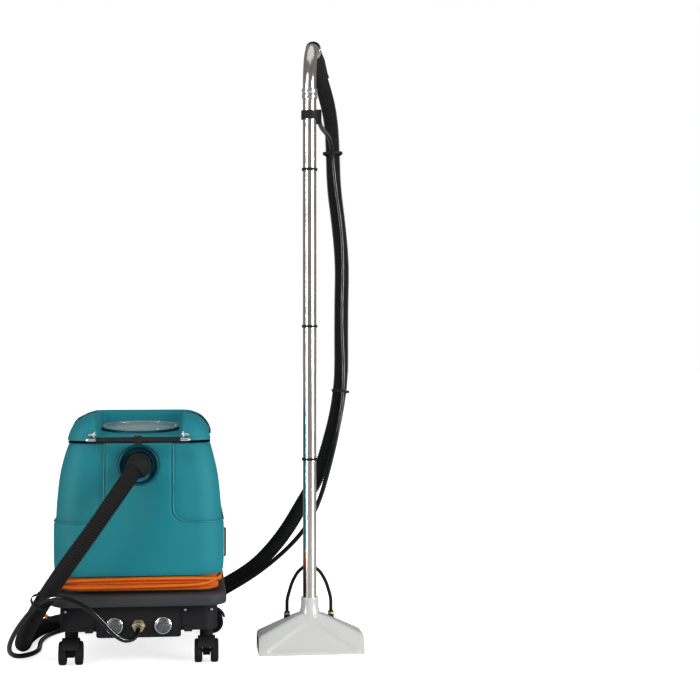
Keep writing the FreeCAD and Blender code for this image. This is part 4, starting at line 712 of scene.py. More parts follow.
# ---- putting pieces in place -------------------------------------------------------------------
class Bench:
    """Puts finished meshes into the frame, each on its body, with its finish."""

    def __init__(self) -> None:
        """Finds the machine's centre on the floor from its chassis."""
        low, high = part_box("chassis")
        self.origin = np.array([(low.x + high.x) / 2, (low.y + high.y) / 2, 0.0])

    def box(self, node: str) -> tuple[Array, Array]:
        """A CAD node's lowest and highest corners about the machine's centre."""
        low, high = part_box(node)
        return np.array(low) - self.origin, np.array(high) - self.origin

    def middle(self, node: str) -> Array:
        """The middle of a CAD node's box about the machine's centre."""
        low, high = self.box(node)
        return (low + high) / 2

    def mesh(self, name: str, solid: Solid, finish: Finishes, sharp: float = 35.0) -> bpy.types.Object:
        """Makes one object from a solid.

        Args:
            name: The piece's name.
            solid: Its shells, about the machine's centre.
            finish: Its finish.
            sharp: Edges that turn more than this many degrees are shaded sharp.

        Returns:
            The new object, with its place in its mesh.
        """
        points = np.concatenate(solid.points) + self.origin
        mesh = bpy.data.meshes.new(name)
        mesh.vertices.add(len(points))
        mesh.vertices.foreach_set("co", points.astype(np.float32).ravel())
        sizes = np.concatenate([np.full(len(group), group.shape[1]) for group in solid.faces])
        mesh.loops.add(int(sizes.sum()))
        mesh.loops.foreach_set("vertex_index",
                               np.concatenate([g.ravel() for g in solid.faces]).astype(np.int32))
        mesh.polygons.add(len(sizes))
        starts = np.concatenate([[0], np.cumsum(sizes)[:-1]])
        mesh.polygons.foreach_set("loop_start", starts.astype(np.int32))
        mesh.polygons.foreach_set("use_smooth", np.ones(len(sizes), bool))
        mesh.update(calc_edges=True)
        mesh.set_sharp_from_angle(angle=math.radians(sharp))
        made = bpy.data.objects.new(name, mesh)
        bpy.context.scene.collection.objects.link(made)
        made.data.materials.append(finish.material())
        return made

    def piece(
        self, name: str, solid: Solid, finish: Finishes, body: str, replaces: tuple[str, ...] = (),
        sharp: float = 35.0
    ) -> bpy.types.Object:
        """Makes one object and sets it on its body.

        Args:
            name: The piece's name.
            solid: Its shells.
            finish: Its finish.
            body: The CAD body that it moves with.
            replaces: The CAD nodes that it stands for.
            sharp: The angle past which edges are sharp.

        Returns:
            The new object.
        """
        made = self.mesh(name, solid, finish, sharp)
        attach(made, body)
        self.sign(made, finish, replaces)
        return made

    @staticmethod
    def sign(made: bpy.types.Object, finish: Finishes, replaces: tuple[str, ...]) -> None:
        """Hides the CAD nodes that a piece stands for, and reports it."""
        if replaces:
            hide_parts(*replaces)
        LOG.info("%s: %d points, %s", made.name, len(made.data.vertices) if made.type == "MESH" else 0,
                 finish.value.name)

    @staticmethod
    def dress(node: str, finish: Finishes) -> None:
        """Gives a CAD node its finish, mesh untouched."""
        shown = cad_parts[node]
        for held in shown.material_slots:
            held.material = finish.material()
        LOG.info("%s: kept, %s", node, finish.value.name)


# ---- studio ------------------------------------------------------------------------------------
@dataclass
class Studio:
    """The camera, the pale floor and the soft lights."""

    stand: Point = (0.106, -3.690, 0.742)
    yaw: float = 6.216
    pitch: float = 0.378
    lens: float = 77.76
    sensor: float = 36.0
    floor_half: float = 30.0
    floor_tone: float = 0.92
    floor_glow: float = 0.80
    floor_bounce: float = 0.12
    sky: float = 0.38
    gamma: float = 0.72

    def camera(self, bench: Bench) -> None:
        """Makes the camera: level with the tank, turned a little to the right."""
        data = bpy.data.cameras.new("camera")
        data.lens = self.lens
        data.sensor_width = self.sensor
        data.clip_end = 100.0
        made = bpy.data.objects.new("camera", data)
        made.location = Vector(np.array(self.stand) + bench.origin)
        made.rotation_euler = (math.radians(90 - self.pitch), 0.0, -math.radians(self.yaw))
        bpy.context.scene.collection.objects.link(made)
        bpy.context.scene.camera = made

    def floor(self) -> None:
        """Lays the floor: one large pale square, not part of the object."""
        half = self.floor_half
        mesh = bpy.data.meshes.new("floor")
        corners = [(-half, -half, 0), (half, -half, 0), (half, half, 0), (-half, half, 0)]
        mesh.from_pydata(corners, [], [(0, 1, 2, 3)])
        made = bpy.data.objects.new("floor", mesh)
        bpy.context.scene.collection.objects.link(made)
        material, wire, shader = started("floor_white")
        mottle = placed(wire, EFFECTS.mottle, scale=2.0).outputs["Mask"]
        tone, lower = self.floor_tone, self.floor_tone - 0.01
        paint = wire.blend(mottle, (lower, lower, lower, 1), (tone, tone, tone, 1))
        material.node_tree.links.new(paint, shader.inputs["Base Color"])
        shader.inputs["Roughness"].default_value = 0.7
        shader.inputs["Specular IOR Level"].default_value = 0.2
        shader.inputs["Emission Color"].default_value = (1, 1, 1, 1)
        seen = wire.node("ShaderNodeLightPath").outputs["Is Camera Ray"]
        glow = wire.span(seen, 0.0, 1.0, self.floor_bounce, self.floor_glow)
        material.node_tree.links.new(glow, shader.inputs["Emission Strength"])
        mesh.materials.append(material)

    def lights(self) -> None:
        """Sets the white surroundings and three broad lamps and two tall strips that only glint."""
        world = bpy.data.worlds.new("white_room")
        world.use_nodes = True
        wire = Wire(world.node_tree)
        seen = wire.node("ShaderNodeLightPath").outputs["Is Camera Ray"]
        backdrop = world.node_tree.nodes["Background"]
        backdrop.inputs["Color"].default_value = (1, 1, 1, 1)
        world.node_tree.links.new(wire.span(seen, 0.0, 1.0, self.sky, 1.0), backdrop.inputs["Strength"])
        bpy.context.scene.world = world
        lamps = (
            ("key", (-2.2, -2.6, 2.6), 1.6, 1.6, 28.0),
            ("fill", (2.8, -2.4, 1.4), 1.8, 1.8, 46.0),
            ("top", (0.2, 0.2, 3.4), 2.4, 2.4, 14.0),
            ("left_strip", (-2.1, -1.5, 0.9), 0.20, 2.2, 80.0),
            ("right_strip", (2.2, -1.4, 0.9), 0.20, 2.2, 80.0),
        )
        for name, place, wide, tall, power in lamps:
            data = bpy.data.lights.new(name, "AREA")
            data.shape = "RECTANGLE"
            data.size = wide
            data.size_y = tall
            data.energy = power
            lamp = bpy.data.objects.new(name, data)
            lamp.location = place
            lamp.visible_diffuse = not name.endswith("strip")
            aim = Vector((0, 0, 0.5)) - Vector(place)
            lamp.rotation_euler = aim.to_track_quat("-Z", "Y").to_euler()
            bpy.context.scene.collection.objects.link(lamp)
        view = bpy.context.scene.view_settings
        view.view_transform = "Standard"
        view.look = "None"
        view.gamma = self.gamma

    def build(self, bench: Bench) -> None:
        """Builds the whole studio."""
        self.camera(bench)
        self.floor()
        self.lights()


# ---- cords and hoses ---------------------------------------------------------------------------
class Route:
    """One smooth spline through the air and along the floor, from given control points."""

    def __init__(self, name: str, points: Array, resolution: int = 16) -> None:
        """Makes the spline.

        Args:
            name: The curve's name.
            points: Control points in the frame.
            resolution: Steps of the curve between two control points.
        """
        self.data = bpy.data.curves.new(name, "CURVE")
        self.data.dimensions = "3D"
        self.data.resolution_u = resolution
        spline = self.data.splines.new("NURBS")
        spline.points.add(len(points) - 1)
        weighted = np.concatenate([points, np.ones((len(points), 1))], axis=1)
        spline.points.foreach_set("co", weighted.astype(np.float32).ravel())
        spline.order_u = 3
        spline.use_endpoint_u = True
        self.curve = bpy.data.objects.new(name, self.data)

    def line(self) -> Array:
        """The spline's own points, as Blender gives them for a curve with no bevel."""
        bpy.context.scene.collection.objects.link(self.curve)
        graph = bpy.context.evaluated_depsgraph_get()
        drawn = bpy.data.meshes.new_from_object(self.curve.evaluated_get(graph))
        points = np.empty(len(drawn.vertices) * 3, np.float32)
        drawn.vertices.foreach_get("co", points)
        bpy.data.meshes.remove(drawn)
        bpy.context.scene.collection.objects.unlink(self.curve)
        return points.reshape(-1, 3).astype(float)


@dataclass
class Tilt:
    """A span along X, kept with each hose; nothing reads it, and the hoses do not follow the wand when it
    tilts.
    """

    still: float = 0.20
    follows: float = 0.425

    def apply(self, made: bpy.types.Object, bench: Bench) -> None:
        """Bakes a finished hose's placement into its mesh."""
        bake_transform(made)


@dataclass
class VacuumHose:
    """The ribbed suction hose, with its smooth cuffs at both ends."""

    diameter: float = 0.038
    pitch: float = 0.0060
    valley: float = 0.0026
    steps: int = 5
    sides: int = 22
    tilt: Tilt = field(default_factory=Tilt)
    # the same route as the plain tube, in metres about the machine's centre
    route: tuple[Point, ...] = (
        (-0.009, -0.262, 0.448), (-0.052, -0.305, 0.388), (-0.103, -0.322, 0.314), (-0.157, -0.316, 0.240),
        (-0.206, -0.284, 0.166), (-0.244, -0.226, 0.098), (-0.266, -0.148, 0.048), (-0.276, -0.058, 0.022),
        (-0.278, 0.042, 0.020), (-0.262, 0.140, 0.0205), (-0.228, 0.230, 0.020), (-0.160, 0.290, 0.0205),
        (-0.066, 0.308, 0.020), (0.024, 0.312, 0.024), (0.098, 0.308, 0.044), (0.166, 0.300, 0.076),
        (0.232, 0.285, 0.112), (0.289, 0.265, 0.152), (0.334, 0.245, 0.202), (0.372, 0.226, 0.256),
        (0.406, 0.212, 0.318), (0.448, 0.203, 0.390), (0.473, 0.198, 0.470), (0.495, 0.196, 0.556),
        (0.507, 0.198, 0.646), (0.507, 0.203, 0.742), (0.508, 0.209, 0.840), (0.511, 0.217, 0.940),
        (0.503, 0.226, 1.040), (0.491, 0.236, 1.138), (0.489, 0.241, 1.226), (0.485, 0.236, 1.304),
        (0.468, 0.206, 1.373), (0.444, 0.152, 1.420),
    )

    def build(self, bench: Bench) -> None:
        """Carries a ribbed circle along the route: the radius falls between ribs as a cosine."""
        line = Route("vacuum_route", np.array(self.route) + bench.origin).line()
        length = line_length(line)
        count = int(length / self.pitch * self.steps)
        path = even_path(line, count)
        phase = np.arange(count) * TAU / self.steps
        rib = np.clip(0.5 + 0.8 * np.cos(phase), 0, 1)
        radius = self.diameter / 2 - self.valley * (1 - rib)
        made = bench.mesh("vacuum_hose_ribbed",
                          Solid().loft(carried(path - bench.origin, radius, self.sides)), Finishes.HOSE, 60)
        self.tilt.apply(made, bench)
        bench.sign(made, Finishes.HOSE, ("vacuum_hose",))
        LOG.info("vacuum hose: %.3f m", length)


@dataclass
class SolutionHose:
    """The thin glossy solution hose."""

    diameter: float = 0.011
    step: float = 0.004
    sides: int = 14
    tilt: Tilt = field(default_factory=Tilt)
    # the same route as the plain tube, in metres about the machine's centre
    route: tuple[Point, ...] = (
        (0.000, -0.262, 0.091), (-0.001, -0.290, 0.086), (-0.010, -0.315, 0.079), (-0.031, -0.332, 0.080),
        (-0.054, -0.340, 0.100), (-0.077, -0.343, 0.128), (-0.105, -0.345, 0.154), (-0.138, -0.346, 0.173),
        (-0.171, -0.341, 0.180), (-0.199, -0.328, 0.175), (-0.221, -0.309, 0.157), (-0.242, -0.287, 0.132),
        (-0.263, -0.261, 0.104), (-0.281, -0.231, 0.074), (-0.293, -0.198, 0.045), (-0.294, -0.164, 0.023),
        (-0.283, -0.134, 0.010), (-0.265, -0.108, 0.0062), (-0.248, -0.080, 0.006), (-0.240, -0.044, 0.0062),
        (-0.242, 0.000, 0.006), (-0.245, 0.046, 0.0062), (-0.242, 0.094, 0.006), (-0.233, 0.140, 0.0062),
        (-0.214, 0.184, 0.006), (-0.186, 0.223, 0.0062), (-0.149, 0.251, 0.006), (-0.106, 0.267, 0.0062),
        (-0.058, 0.275, 0.006), (-0.008, 0.279, 0.0065), (0.044, 0.279, 0.011), (0.094, 0.276, 0.025),
        (0.142, 0.270, 0.046), (0.190, 0.262, 0.072), (0.235, 0.252, 0.099), (0.275, 0.243, 0.124),
        (0.311, 0.234, 0.151), (0.346, 0.224, 0.181), (0.379, 0.211, 0.214), (0.410, 0.197, 0.252),
        (0.435, 0.186, 0.297), (0.454, 0.177, 0.346), (0.469, 0.171, 0.402), (0.484, 0.168, 0.462),
        (0.498, 0.167, 0.528), (0.508, 0.169, 0.598), (0.510, 0.170, 0.672), (0.507, 0.174, 0.748),
        (0.506, 0.180, 0.826), (0.510, 0.187, 0.904), (0.510, 0.193, 0.980), (0.504, 0.200, 1.055),
        (0.494, 0.206, 1.126), (0.488, 0.208, 1.184), (0.483, 0.196, 1.229), (0.475, 0.165, 1.254),
        (0.464, 0.124, 1.262), (0.452, 0.080, 1.264), (0.441, 0.038, 1.267), (0.433, 0.000, 1.273),
        (0.427, -0.034, 1.280),
    )

    def build(self, bench: Bench) -> None:
        """Carries a plain circle along the route."""
        line = Route("solution_route", np.array(self.route) + bench.origin).line()
        length = line_length(line)
        path = even_path(line, int(length / self.step))
        rings = carried(path - bench.origin, self.diameter / 2, self.sides)
        made = bench.mesh("solution_hose_smooth", Solid().loft(rings), Finishes.GLOSS_HOSE, 60)
        self.tilt.apply(made, bench)
        bench.sign(made, Finishes.GLOSS_HOSE, ("solution_hose",))
        LOG.info("solution hose: %.3f m", length)


@dataclass
class MainsCord:
    """The orange mains cord: its lead, its turns round the neck and its tail, as one spline."""

    diameter: float = 0.008
    inner_turns: int = 5
    outer_turns: int = 2
    corner_points: int = 6
    corner: float = 0.048
    low_row: float = 0.1695
    high_row: float = 0.2000
    wander: float = 0.0012
    seed: int = 5
    # the lead and the tail repeat the plain tubes' routes
    lead: tuple[Point, ...] = (
        (-0.183, -0.150, 0.095), (-0.201, -0.149, 0.096), (-0.215, -0.141, 0.102), (-0.223, -0.125, 0.111),
        (-0.226, -0.104, 0.123), (-0.226, -0.080, 0.138), (-0.223, -0.054, 0.154), (-0.217, -0.028, 0.168),
        (-0.208, -0.002, 0.178), (-0.198, 0.024, 0.183), (-0.190, 0.050, 0.184),
    )
    tail: tuple[Point, ...] = (
        (-0.082, 0.222, 0.185), (-0.056, 0.224, 0.186), (-0.031, 0.230, 0.187), (-0.009, 0.240, 0.185),
        (0.008, 0.252, 0.176), (0.018, 0.261, 0.161), (0.022, 0.265, 0.142), (0.0225, 0.2655, 0.122),
        (0.022, 0.265, 0.104),
    )

    def turns(self, bench: Bench) -> Array:
        """Control points of the turns: round the neck's outline, row above row, then two outer turns.

        The turns leave the left side towards the back and go round by the rear, right and front.
        Each quarter has its corner's points and the middle of the side that follows. The inner
        turns climb row by row, and the outer turns stand one cord further out and wander.
        """
        neck_low, neck_high = bench.box("cord_neck")
        half_w, half_d = (neck_high[0] - neck_low[0]) / 2, (neck_high[1] - neck_low[1]) / 2
        total = self.inner_turns + self.outer_turns
        signs = np.array([(-1, 1), (1, 1), (1, -1), (-1, -1)])
        middles = np.array([(0.0, 1.0), (1.0, 0.0), (0.0, -1.0), (-1.0, 0.0)])
        per_side = self.corner_points + 1
        step = np.arange(total * 4 * per_side + per_side)
        quarter, within = (step // per_side) % 4, step % per_side
        turn = step / (4 * per_side)
        rng = np.random.default_rng(self.seed)
        outer = ease(turn, self.inner_turns - 0.05, self.inner_turns + 0.12)
        out = self.diameter * (0.5 + outer) + outer * self.wander * rng.uniform(0.0, 0.8, len(step))
        angle = TAU / 2 - quarter * TAU / 4 - within / (self.corner_points - 1) * TAU / 4
        centre = signs[quarter] * np.array([half_w - self.corner, half_d - self.corner])
        round_corner = (centre + (self.corner + out)[:, None]
                        * np.stack([np.cos(angle), np.sin(angle)], axis=1))
        flat_side = middles[quarter] * np.stack([half_w + out, half_d + out], axis=1)
        plan = np.where((within == self.corner_points)[:, None], flat_side, round_corner)
        rows = (self.high_row - self.low_row) / (self.inner_turns - 1)
        climb = self.low_row + rows * np.clip(turn - 0.2, 0, self.inner_turns - 1)
        settle = 0.184 + (self.low_row - 0.184) * ease(turn, 0.0, 0.3)
        inner_z = np.where(turn < 0.3, settle, climb)
        cross = self.high_row - 0.012 + 0.0105 * np.cos((turn - self.inner_turns) * TAU * 1.37 + 0.3)
        late = ease(turn, total - 0.25, total + 0.1)
        outer_z = cross * (1 - late) + 0.185 * late
        height = inner_z * (1 - outer) + outer_z * outer
        height += outer * self.wander * rng.uniform(-1.0, 1.0, len(step))
        points = np.concatenate([plan, height[:, None]], axis=1)
        return points[:-2]

    def build(self, bench: Bench) -> None:
        """Joins lead, turns and tail into one spline and gives it the cord's thickness."""
        inside = self.turns(bench)
        points = np.concatenate([np.array(self.lead), inside, np.array(self.tail)]) + bench.origin
        route = Route("mains_cord", points, 10)
        length = line_length(route.line())
        made = route.curve
        bpy.context.scene.collection.objects.link(made)
        made.data.bevel_depth = self.diameter / 2
        made.data.bevel_resolution = 3
        made.data.use_fill_caps = True
        made.data.materials.append(Finishes.ORANGE.material())
        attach(made, "machine")
        bench.sign(made, Finishes.ORANGE, ("cord_winding", "cord_lead", "cord_tail"))
        LOG.info("mains cord: %.2f m", length)


# ---- tank, lid and what is on them -------------------------------------------------------------
@dataclass
class TankShell:
    """The teal tank: a round-cornered wall that leans in towards its mouth.

    Above a groove the wall steps in, except in the middle of the front and back, where a flush
    panel runs up between two round-cornered shoulders. A pocket is pressed round the hose port.
    """

    corner: float = 0.062
    corner_share: float = 0.4
    wall: float = 0.005
    floor: float = 0.006
    rows: int = 150
    profile: tuple[tuple[float, float], ...] = (
        (0.0, 0.005), (0.014, 0.0), (0.130, 0.0), (0.205, 0.006), (0.243, 0.012), (0.280, 0.022),
        (0.301, 0.030),
    )
    panel_half: float = 0.078
    groove_z: float = 0.327
    shoulder: float = 0.034
    step: float = 0.0048
    step_width: float = 0.0030
    bead: float = 0.0016
    # radius of the thin tubes that paint a highlight along the shoulders' edges
    line: float = 0.0011
    pocket: float = 0.043
    pocket_depth: float = 0.004

    def inset_at(self, height: Array) -> Array:
        """How far the wall stands in at heights above the base: the smoothed profile, read by height."""
        line = chaikin(list(self.profile), 3)
        return np.interp(height, line[:, 0], line[:, 1])

    def relief(self, points: Array, outward: Array, port_z: float) -> Array:
        """How far each point of the outer wall is pressed in.

        The shoulder's edge is the distance into a quadrant with a round corner: the smaller of the
        distances past the panel's edge and past the groove, or inside the corner its radius less
        the distance to the corner's middle. The pocket is a step round the port.

        Args:
            points: The plain wall's points.
            outward: Each column's outward direction.
            port_z: The height of the hose port.

        Returns:
            Depths, rows x columns.
        """
        x, z = points[..., 0], points[..., 2]
        u = np.abs(x) - self.panel_half
        v = z - self.groove_z
        reach = self.shoulder
        round_corner = reach - np.hypot(reach - u, reach - v)
        inside = np.where((u < reach) & (v < reach), round_corner, np.minimum(u, v))
        step = self.step * ease(inside, -self.step_width / 2, self.step_width / 2)
        crease = self.bead * np.exp(-((inside + 0.0035) / 0.0022) ** 2)
        front = outward[:, 1] < -0.9
        from_port = np.hypot(x, z - port_z)
        pocket = self.pocket_depth * ease(from_port, self.pocket + 0.005, self.pocket - 0.001) * front
        return np.maximum(step + crease, pocket)

    def build(self, bench: Bench) -> None:
        """Lofts the outer wall, the round lip, the inner wall and the floor as one closed shell."""
        low, high = bench.box("solution_tank")
        port_z = float(bench.middle("port_boss")[2])
        half_w, half_d = (high[0] - low[0]) / 2, (high[1] - low[1]) / 2
        tall = high[2] - low[2]
        outline = Outline(124, 40, 22)
        height = np.linspace(0, tall, self.rows)
        inset = self.inset_at(height)
        radius = self.corner - inset * self.corner_share
        outer = outline.rings(half_w - inset, half_d - inset, radius, low[2] + height)
        outward = outline.outward()
        outer = outer - self.relief(outer, outward, port_z)[..., None] * outward
        underside_inset = np.array([0.05, 0.012, 0.003])
        under = outline.rings(
            half_w - self.inset_at(0.0) - underside_inset, half_d - self.inset_at(0.0) - underside_inset,
            np.maximum(self.corner - underside_inset, 0.01), low[2] + np.array([0.0, 0.0, 0.0008]),
        )
        thin = np.linspace(tall - 0.0015, self.floor, 24)
        inner_inset = (self.inset_at(thin) + self.wall + self.step
                       * ease(thin + low[2], self.groove_z, self.groove_z + 0.01))
        inner = outline.rings(half_w - inner_inset, half_d - inner_inset, self.corner - inner_inset,
                              low[2] + thin)
        shell = np.concatenate([under, outer, inner])
        bench.piece("solution_tank_shell", Solid().loft(shell), Finishes.TEAL, "machine", ("solution_tank",),
                    50)
        self.lay_shoulder_highlights(bench, outline, half_w, half_d, low[2], high[2])

    def lay_shoulder_highlights(self, bench: Bench, outline: Outline, half_w: float, half_d: float, base: float,
                   top: float) -> None:
        """Lays a thin lighter-teal tube, a painted highlight, along the edge of each side's shoulder: up the
        front, round the groove, up the back.

        Args:
            bench: Where pieces are put.
            outline: The wall's outline.
            half_w: Half the tank's width.
            half_d: Half its depth.
            base: The height of its underside.
            top: The height of its mouth.
        """
        level = self.groove_z
        inset = self.inset_at(level - base)
        ring = outline.rings(
            np.array([half_w - inset]), np.array([half_d - inset]),
            np.array([self.corner - inset * self.corner_share]), np.array([level]),
        )[0]
        right = ring[ring[:, 0] > self.panel_half + self.shoulder]
        right = right[np.argsort(np.arctan2(right[:, 1], right[:, 0]))]
        turn = np.linspace(0, TAU / 4, 14)
        x = self.panel_half + self.shoulder * (1 - np.sin(turn))
        z = level + self.shoulder * (1 - np.cos(turn))
        rise = np.linspace(z[-1], top - 0.003, 50)[1:]
        x, z = np.concatenate([x, np.full(len(rise), x[-1])]), np.concatenate([z, rise])
        reach = half_d - self.inset_at(z - base)
        climb = np.stack([x, -reach, z], axis=1)
        path = np.concatenate([climb[::-1], right, climb * [1, -1, 1]])
        # each line is a painted highlight on the shoulder's step edge
        lines = Solid()
        for side in (1, -1):
            lines.loft(carried(even_path(path * [side, 1, 1], 420), self.line, 8))
        bench.piece("shoulder_highlight_lines", lines, Finishes.TEAL_EDGE, "machine", sharp=60)


@dataclass
class Lid:
    """The teal lid: a crowned shell with a sloping scoop and a raised hood behind it."""

    corner: float = 0.062
    corner_share: float = 0.4
    wall: float = 0.004
    profile: tuple[tuple[float, float], ...] = (
        (0.0, 0.031), (0.004, 0.0305), (0.022, 0.036), (0.038, 0.045), (0.050, 0.060), (0.056, 0.078),
    )
    scoop_half: float = 0.1
    scoop_back: float = 0.118
    scoop_front_height: float = 0.009
    slope: float = 3.9
    side_width: float = 0.011
    hood_front: float = 0.010
    lip: float = 0.0028

    def scoop_floor(self, y: Array, low: Array) -> Array:
        """The height of the scoop's sloping floor at places from front to back."""
        front = low[1]
        return low[2] + 0.0040 + self.scoop_front_height + (y - front) * math.tan(math.radians(self.slope))

    def build(self, bench: Bench) -> None:
        """Lofts the side wall by its profile, then rings that close over the top, and cuts the scoop.

        The top's height falls to the scoop's floor inside its mask, a product of smooth steps on
        both sides and at the back. The hood stands out a little behind its own line.
        """
        low, high = bench.box("tank_lid")
        tank_low, tank_high = bench.box("solution_tank")
        half_w, half_d = (tank_high[0] - tank_low[0]) / 2, (tank_high[1] - tank_low[1]) / 2
        base = low[2] + 0.004
        line = chaikin(list(self.profile), 3)
        outline = Outline(96, 84, 20)
        side = outline.rings(
            half_w - line[:, 1], half_d - line[:, 1], self.corner - line[:, 1] * self.corner_share,
            base + line[:, 0]
        )
        share = np.linspace(0, 1, 66)[1:]
        last = line[-1, 1]
        inner_w, inner_d = half_w - last, half_d - last
        corner = self.corner - last * self.corner_share
        shrink = share * 0.985
        top = outline.rings(
            inner_w * (1 - shrink), inner_d * (1 - shrink), np.minimum(corner, inner_w * (1 - shrink) * 0.9),
            np.full(len(shrink), base + line[-1, 0]),
        )
        skin = np.concatenate([side, top])
        outward = outline.outward()
        behind = ease(skin[..., 1], self.hood_front - 0.003, self.hood_front + 0.003)
        lift = self.lip * behind * ease(skin[..., 2], base + 0.003, base + 0.008)
        skin = (skin + lift[..., None] * outward
                * ease(skin[..., 2], high[2] + 0.001, high[2] - 0.010)[..., None])
        x, y = skin[..., 0], skin[..., 1]
        inside = ease(np.abs(x), self.scoop_half + 0.002, self.scoop_half - self.side_width)
        inside = inside * ease(y, self.scoop_back + 0.002, self.scoop_back - self.side_width)
        floor = np.minimum(skin[..., 2], self.scoop_floor(y, low))
        skin[..., 2] = skin[..., 2] * (1 - inside) + floor * inside
        lowest = skin[..., 2] < base + 0.0005
        skin[..., 2] = np.where(lowest, np.maximum(skin[..., 2], base), skin[..., 2])
        under = skin[::-1][: len(top) + len(side) - 2].copy()
        pull = np.minimum(self.wall, np.maximum(under[..., 2] - base, 0) * 0.6)
        under[..., 2] -= pull
        scale = 1 - self.wall / half_w
        under[..., 0] *= scale
        under[..., 1] *= scale
        shell = np.concatenate([under, skin])
        bench.piece("lid_shell", Solid().loft(shell), Finishes.TEAL, "lid", ("tank_lid",), 50)
        self.lay_hood_seal_shade(bench, skin, len(side), base)

    def lay_hood_seal_shade(self, bench: Bench, skin: Array, side_rows: int, base: float) -> None:
        """Lays a thin dark tube where the hood meets the lid, over the arch from side to side: partly its
        seal, partly painted shade under the hood's step.
        """
        x = np.concatenate([skin[:side_rows, :, 0].ravel(), skin[side_rows:, :, 0].ravel()])
        y = np.concatenate([skin[:side_rows, :, 1].ravel(), skin[side_rows:, :, 1].ravel()])
        z = np.concatenate([skin[:side_rows, :, 2].ravel(), skin[side_rows:, :, 2].ravel()])
        near = np.abs(y - self.hood_front) < 0.006
        bins = np.linspace(x[near].min(), x[near].max(), 90)
        tops = np.array([z[near & (np.abs(x - b) < 0.004)].max(initial=base) for b in bins])
        left = np.array([[bins[0] - 0.0005, base + 0.004], [bins[0] - 0.0005, base + 0.012]])
        arch = np.concatenate([left, np.stack([bins, tops], axis=1), left[::-1] * [-1, 1]])
        keep = (np.abs(arch[:, 0]) > self.scoop_half + 0.004)
        solid = Solid()
        for side in (-1, 1):
            part = arch[keep & (np.sign(arch[:, 0]) == side)]
            path = np.stack([part[:, 0] * 0.996, np.full(len(part), self.hood_front - 0.002),
                             part[:, 1] - 0.0006], axis=1)
            solid.loft(carried(even_path(path, 60), 0.0014, 10))
        bench.piece("hood_seal_and_shade_line", solid, Finishes.SEAM, "lid")


@dataclass
class Dome:
    """The clear inspection dome on its teal collar, and the lens's flat rim."""

    rise: float = 0.0088
    rim: float = 0.0105
    collar_bevel: float = 0.0018
    slope: float = 3.9
    radius: float = 0.090
    collar_height: float = 0.0075
    collar_width: float = 0.012

    def build(self, bench: Bench) -> None:
        """Turns the collar and the lens about the scoop's upward normal."""
        low, high = bench.box("dome_collar")
        angle = math.radians(self.slope)
        axis = (0.0, -math.sin(angle), math.cos(angle))
        middle = (low + high) / 2
        base = middle - np.array(axis) * self.collar_height / 2
        outer, inner = self.radius + 0.002, self.radius - self.collar_width
        b, h = self.collar_bevel, self.collar_height
        collar = chaikin([(inner, 0.0), (outer, 0.0), (outer, h - b), (outer - b, h), (inner + b, h),
                          (inner, h - b), (inner, 0.0)], 1)[:-1]
        ring = Solid().hoop(turned(collar, tuple(base), axis, 96))
        # the collar takes the darker teal copy, painted shade
        bench.piece("dome_collar_ring", ring, Finishes.TEAL_DEEP, "lid", ("dome_collar",), 40)
        seat = h + 0.0003
        across = np.linspace(0, 1, 18)[1:]
        lens_radius = self.radius - self.rim
        cap = [(lens_radius * s, seat + 0.003 + self.rise * (1 - s * s)) for s in across]
        under = [(lens_radius * s * 0.985, seat + self.rise * (1 - s * s) + 0.0002) for s in across[::-1]]
        rim = [(self.radius - 0.003, seat + 0.0034), (self.radius, seat + 0.0026), (self.radius, seat),
               (lens_radius, seat)]
        profile = np.array([(0.0004, seat + 0.003 + self.rise)] + cap + rim + under
                           + [(0.0004, seat + self.rise)])
        lens = Solid().loft(turned(profile, tuple(base), axis, 96))
        bench.piece("dome_lens", lens, Finishes.CLEAR, "dome", ("inspection_dome",), 30)
        band = chaikin([(self.radius - 0.0005, seat - 0.0002), (self.radius + 0.0022, seat + 0.0004),
                        (self.radius + 0.0022, seat + 0.0034), (self.radius - 0.0005, seat + 0.0042),
                        (self.radius - 0.0005, seat - 0.0002)], 1)[:-1]
        bench.piece("dome_bezel", Solid().hoop(turned(band, tuple(base), axis, 96)), Finishes.CHROME, "dome")
        self.screws(bench, base, axis, seat)

    def screws(self, bench: Bench, base: Array, axis: Point, seat: float) -> None:
        """Sets six small pan-head screws round the lens's rim."""
        side, other, along = axis_frame(axis)
        solid = Solid()
        head = chaikin([(0.0002, 0.0022), (0.0022, 0.0020), (0.0032, 0.0006), (0.0032, 0.0)], 2)
        for k in range(6):
            turn = TAU * (k + 0.5) / 6
            place = (base + along * (seat + 0.0034) + (side * math.cos(turn) + other * math.sin(turn))
                     * (self.radius - 0.006))
            solid.loft(turned(head, tuple(place), axis, 14))
        bench.piece("dome_screws", solid, Finishes.STEEL, "dome")


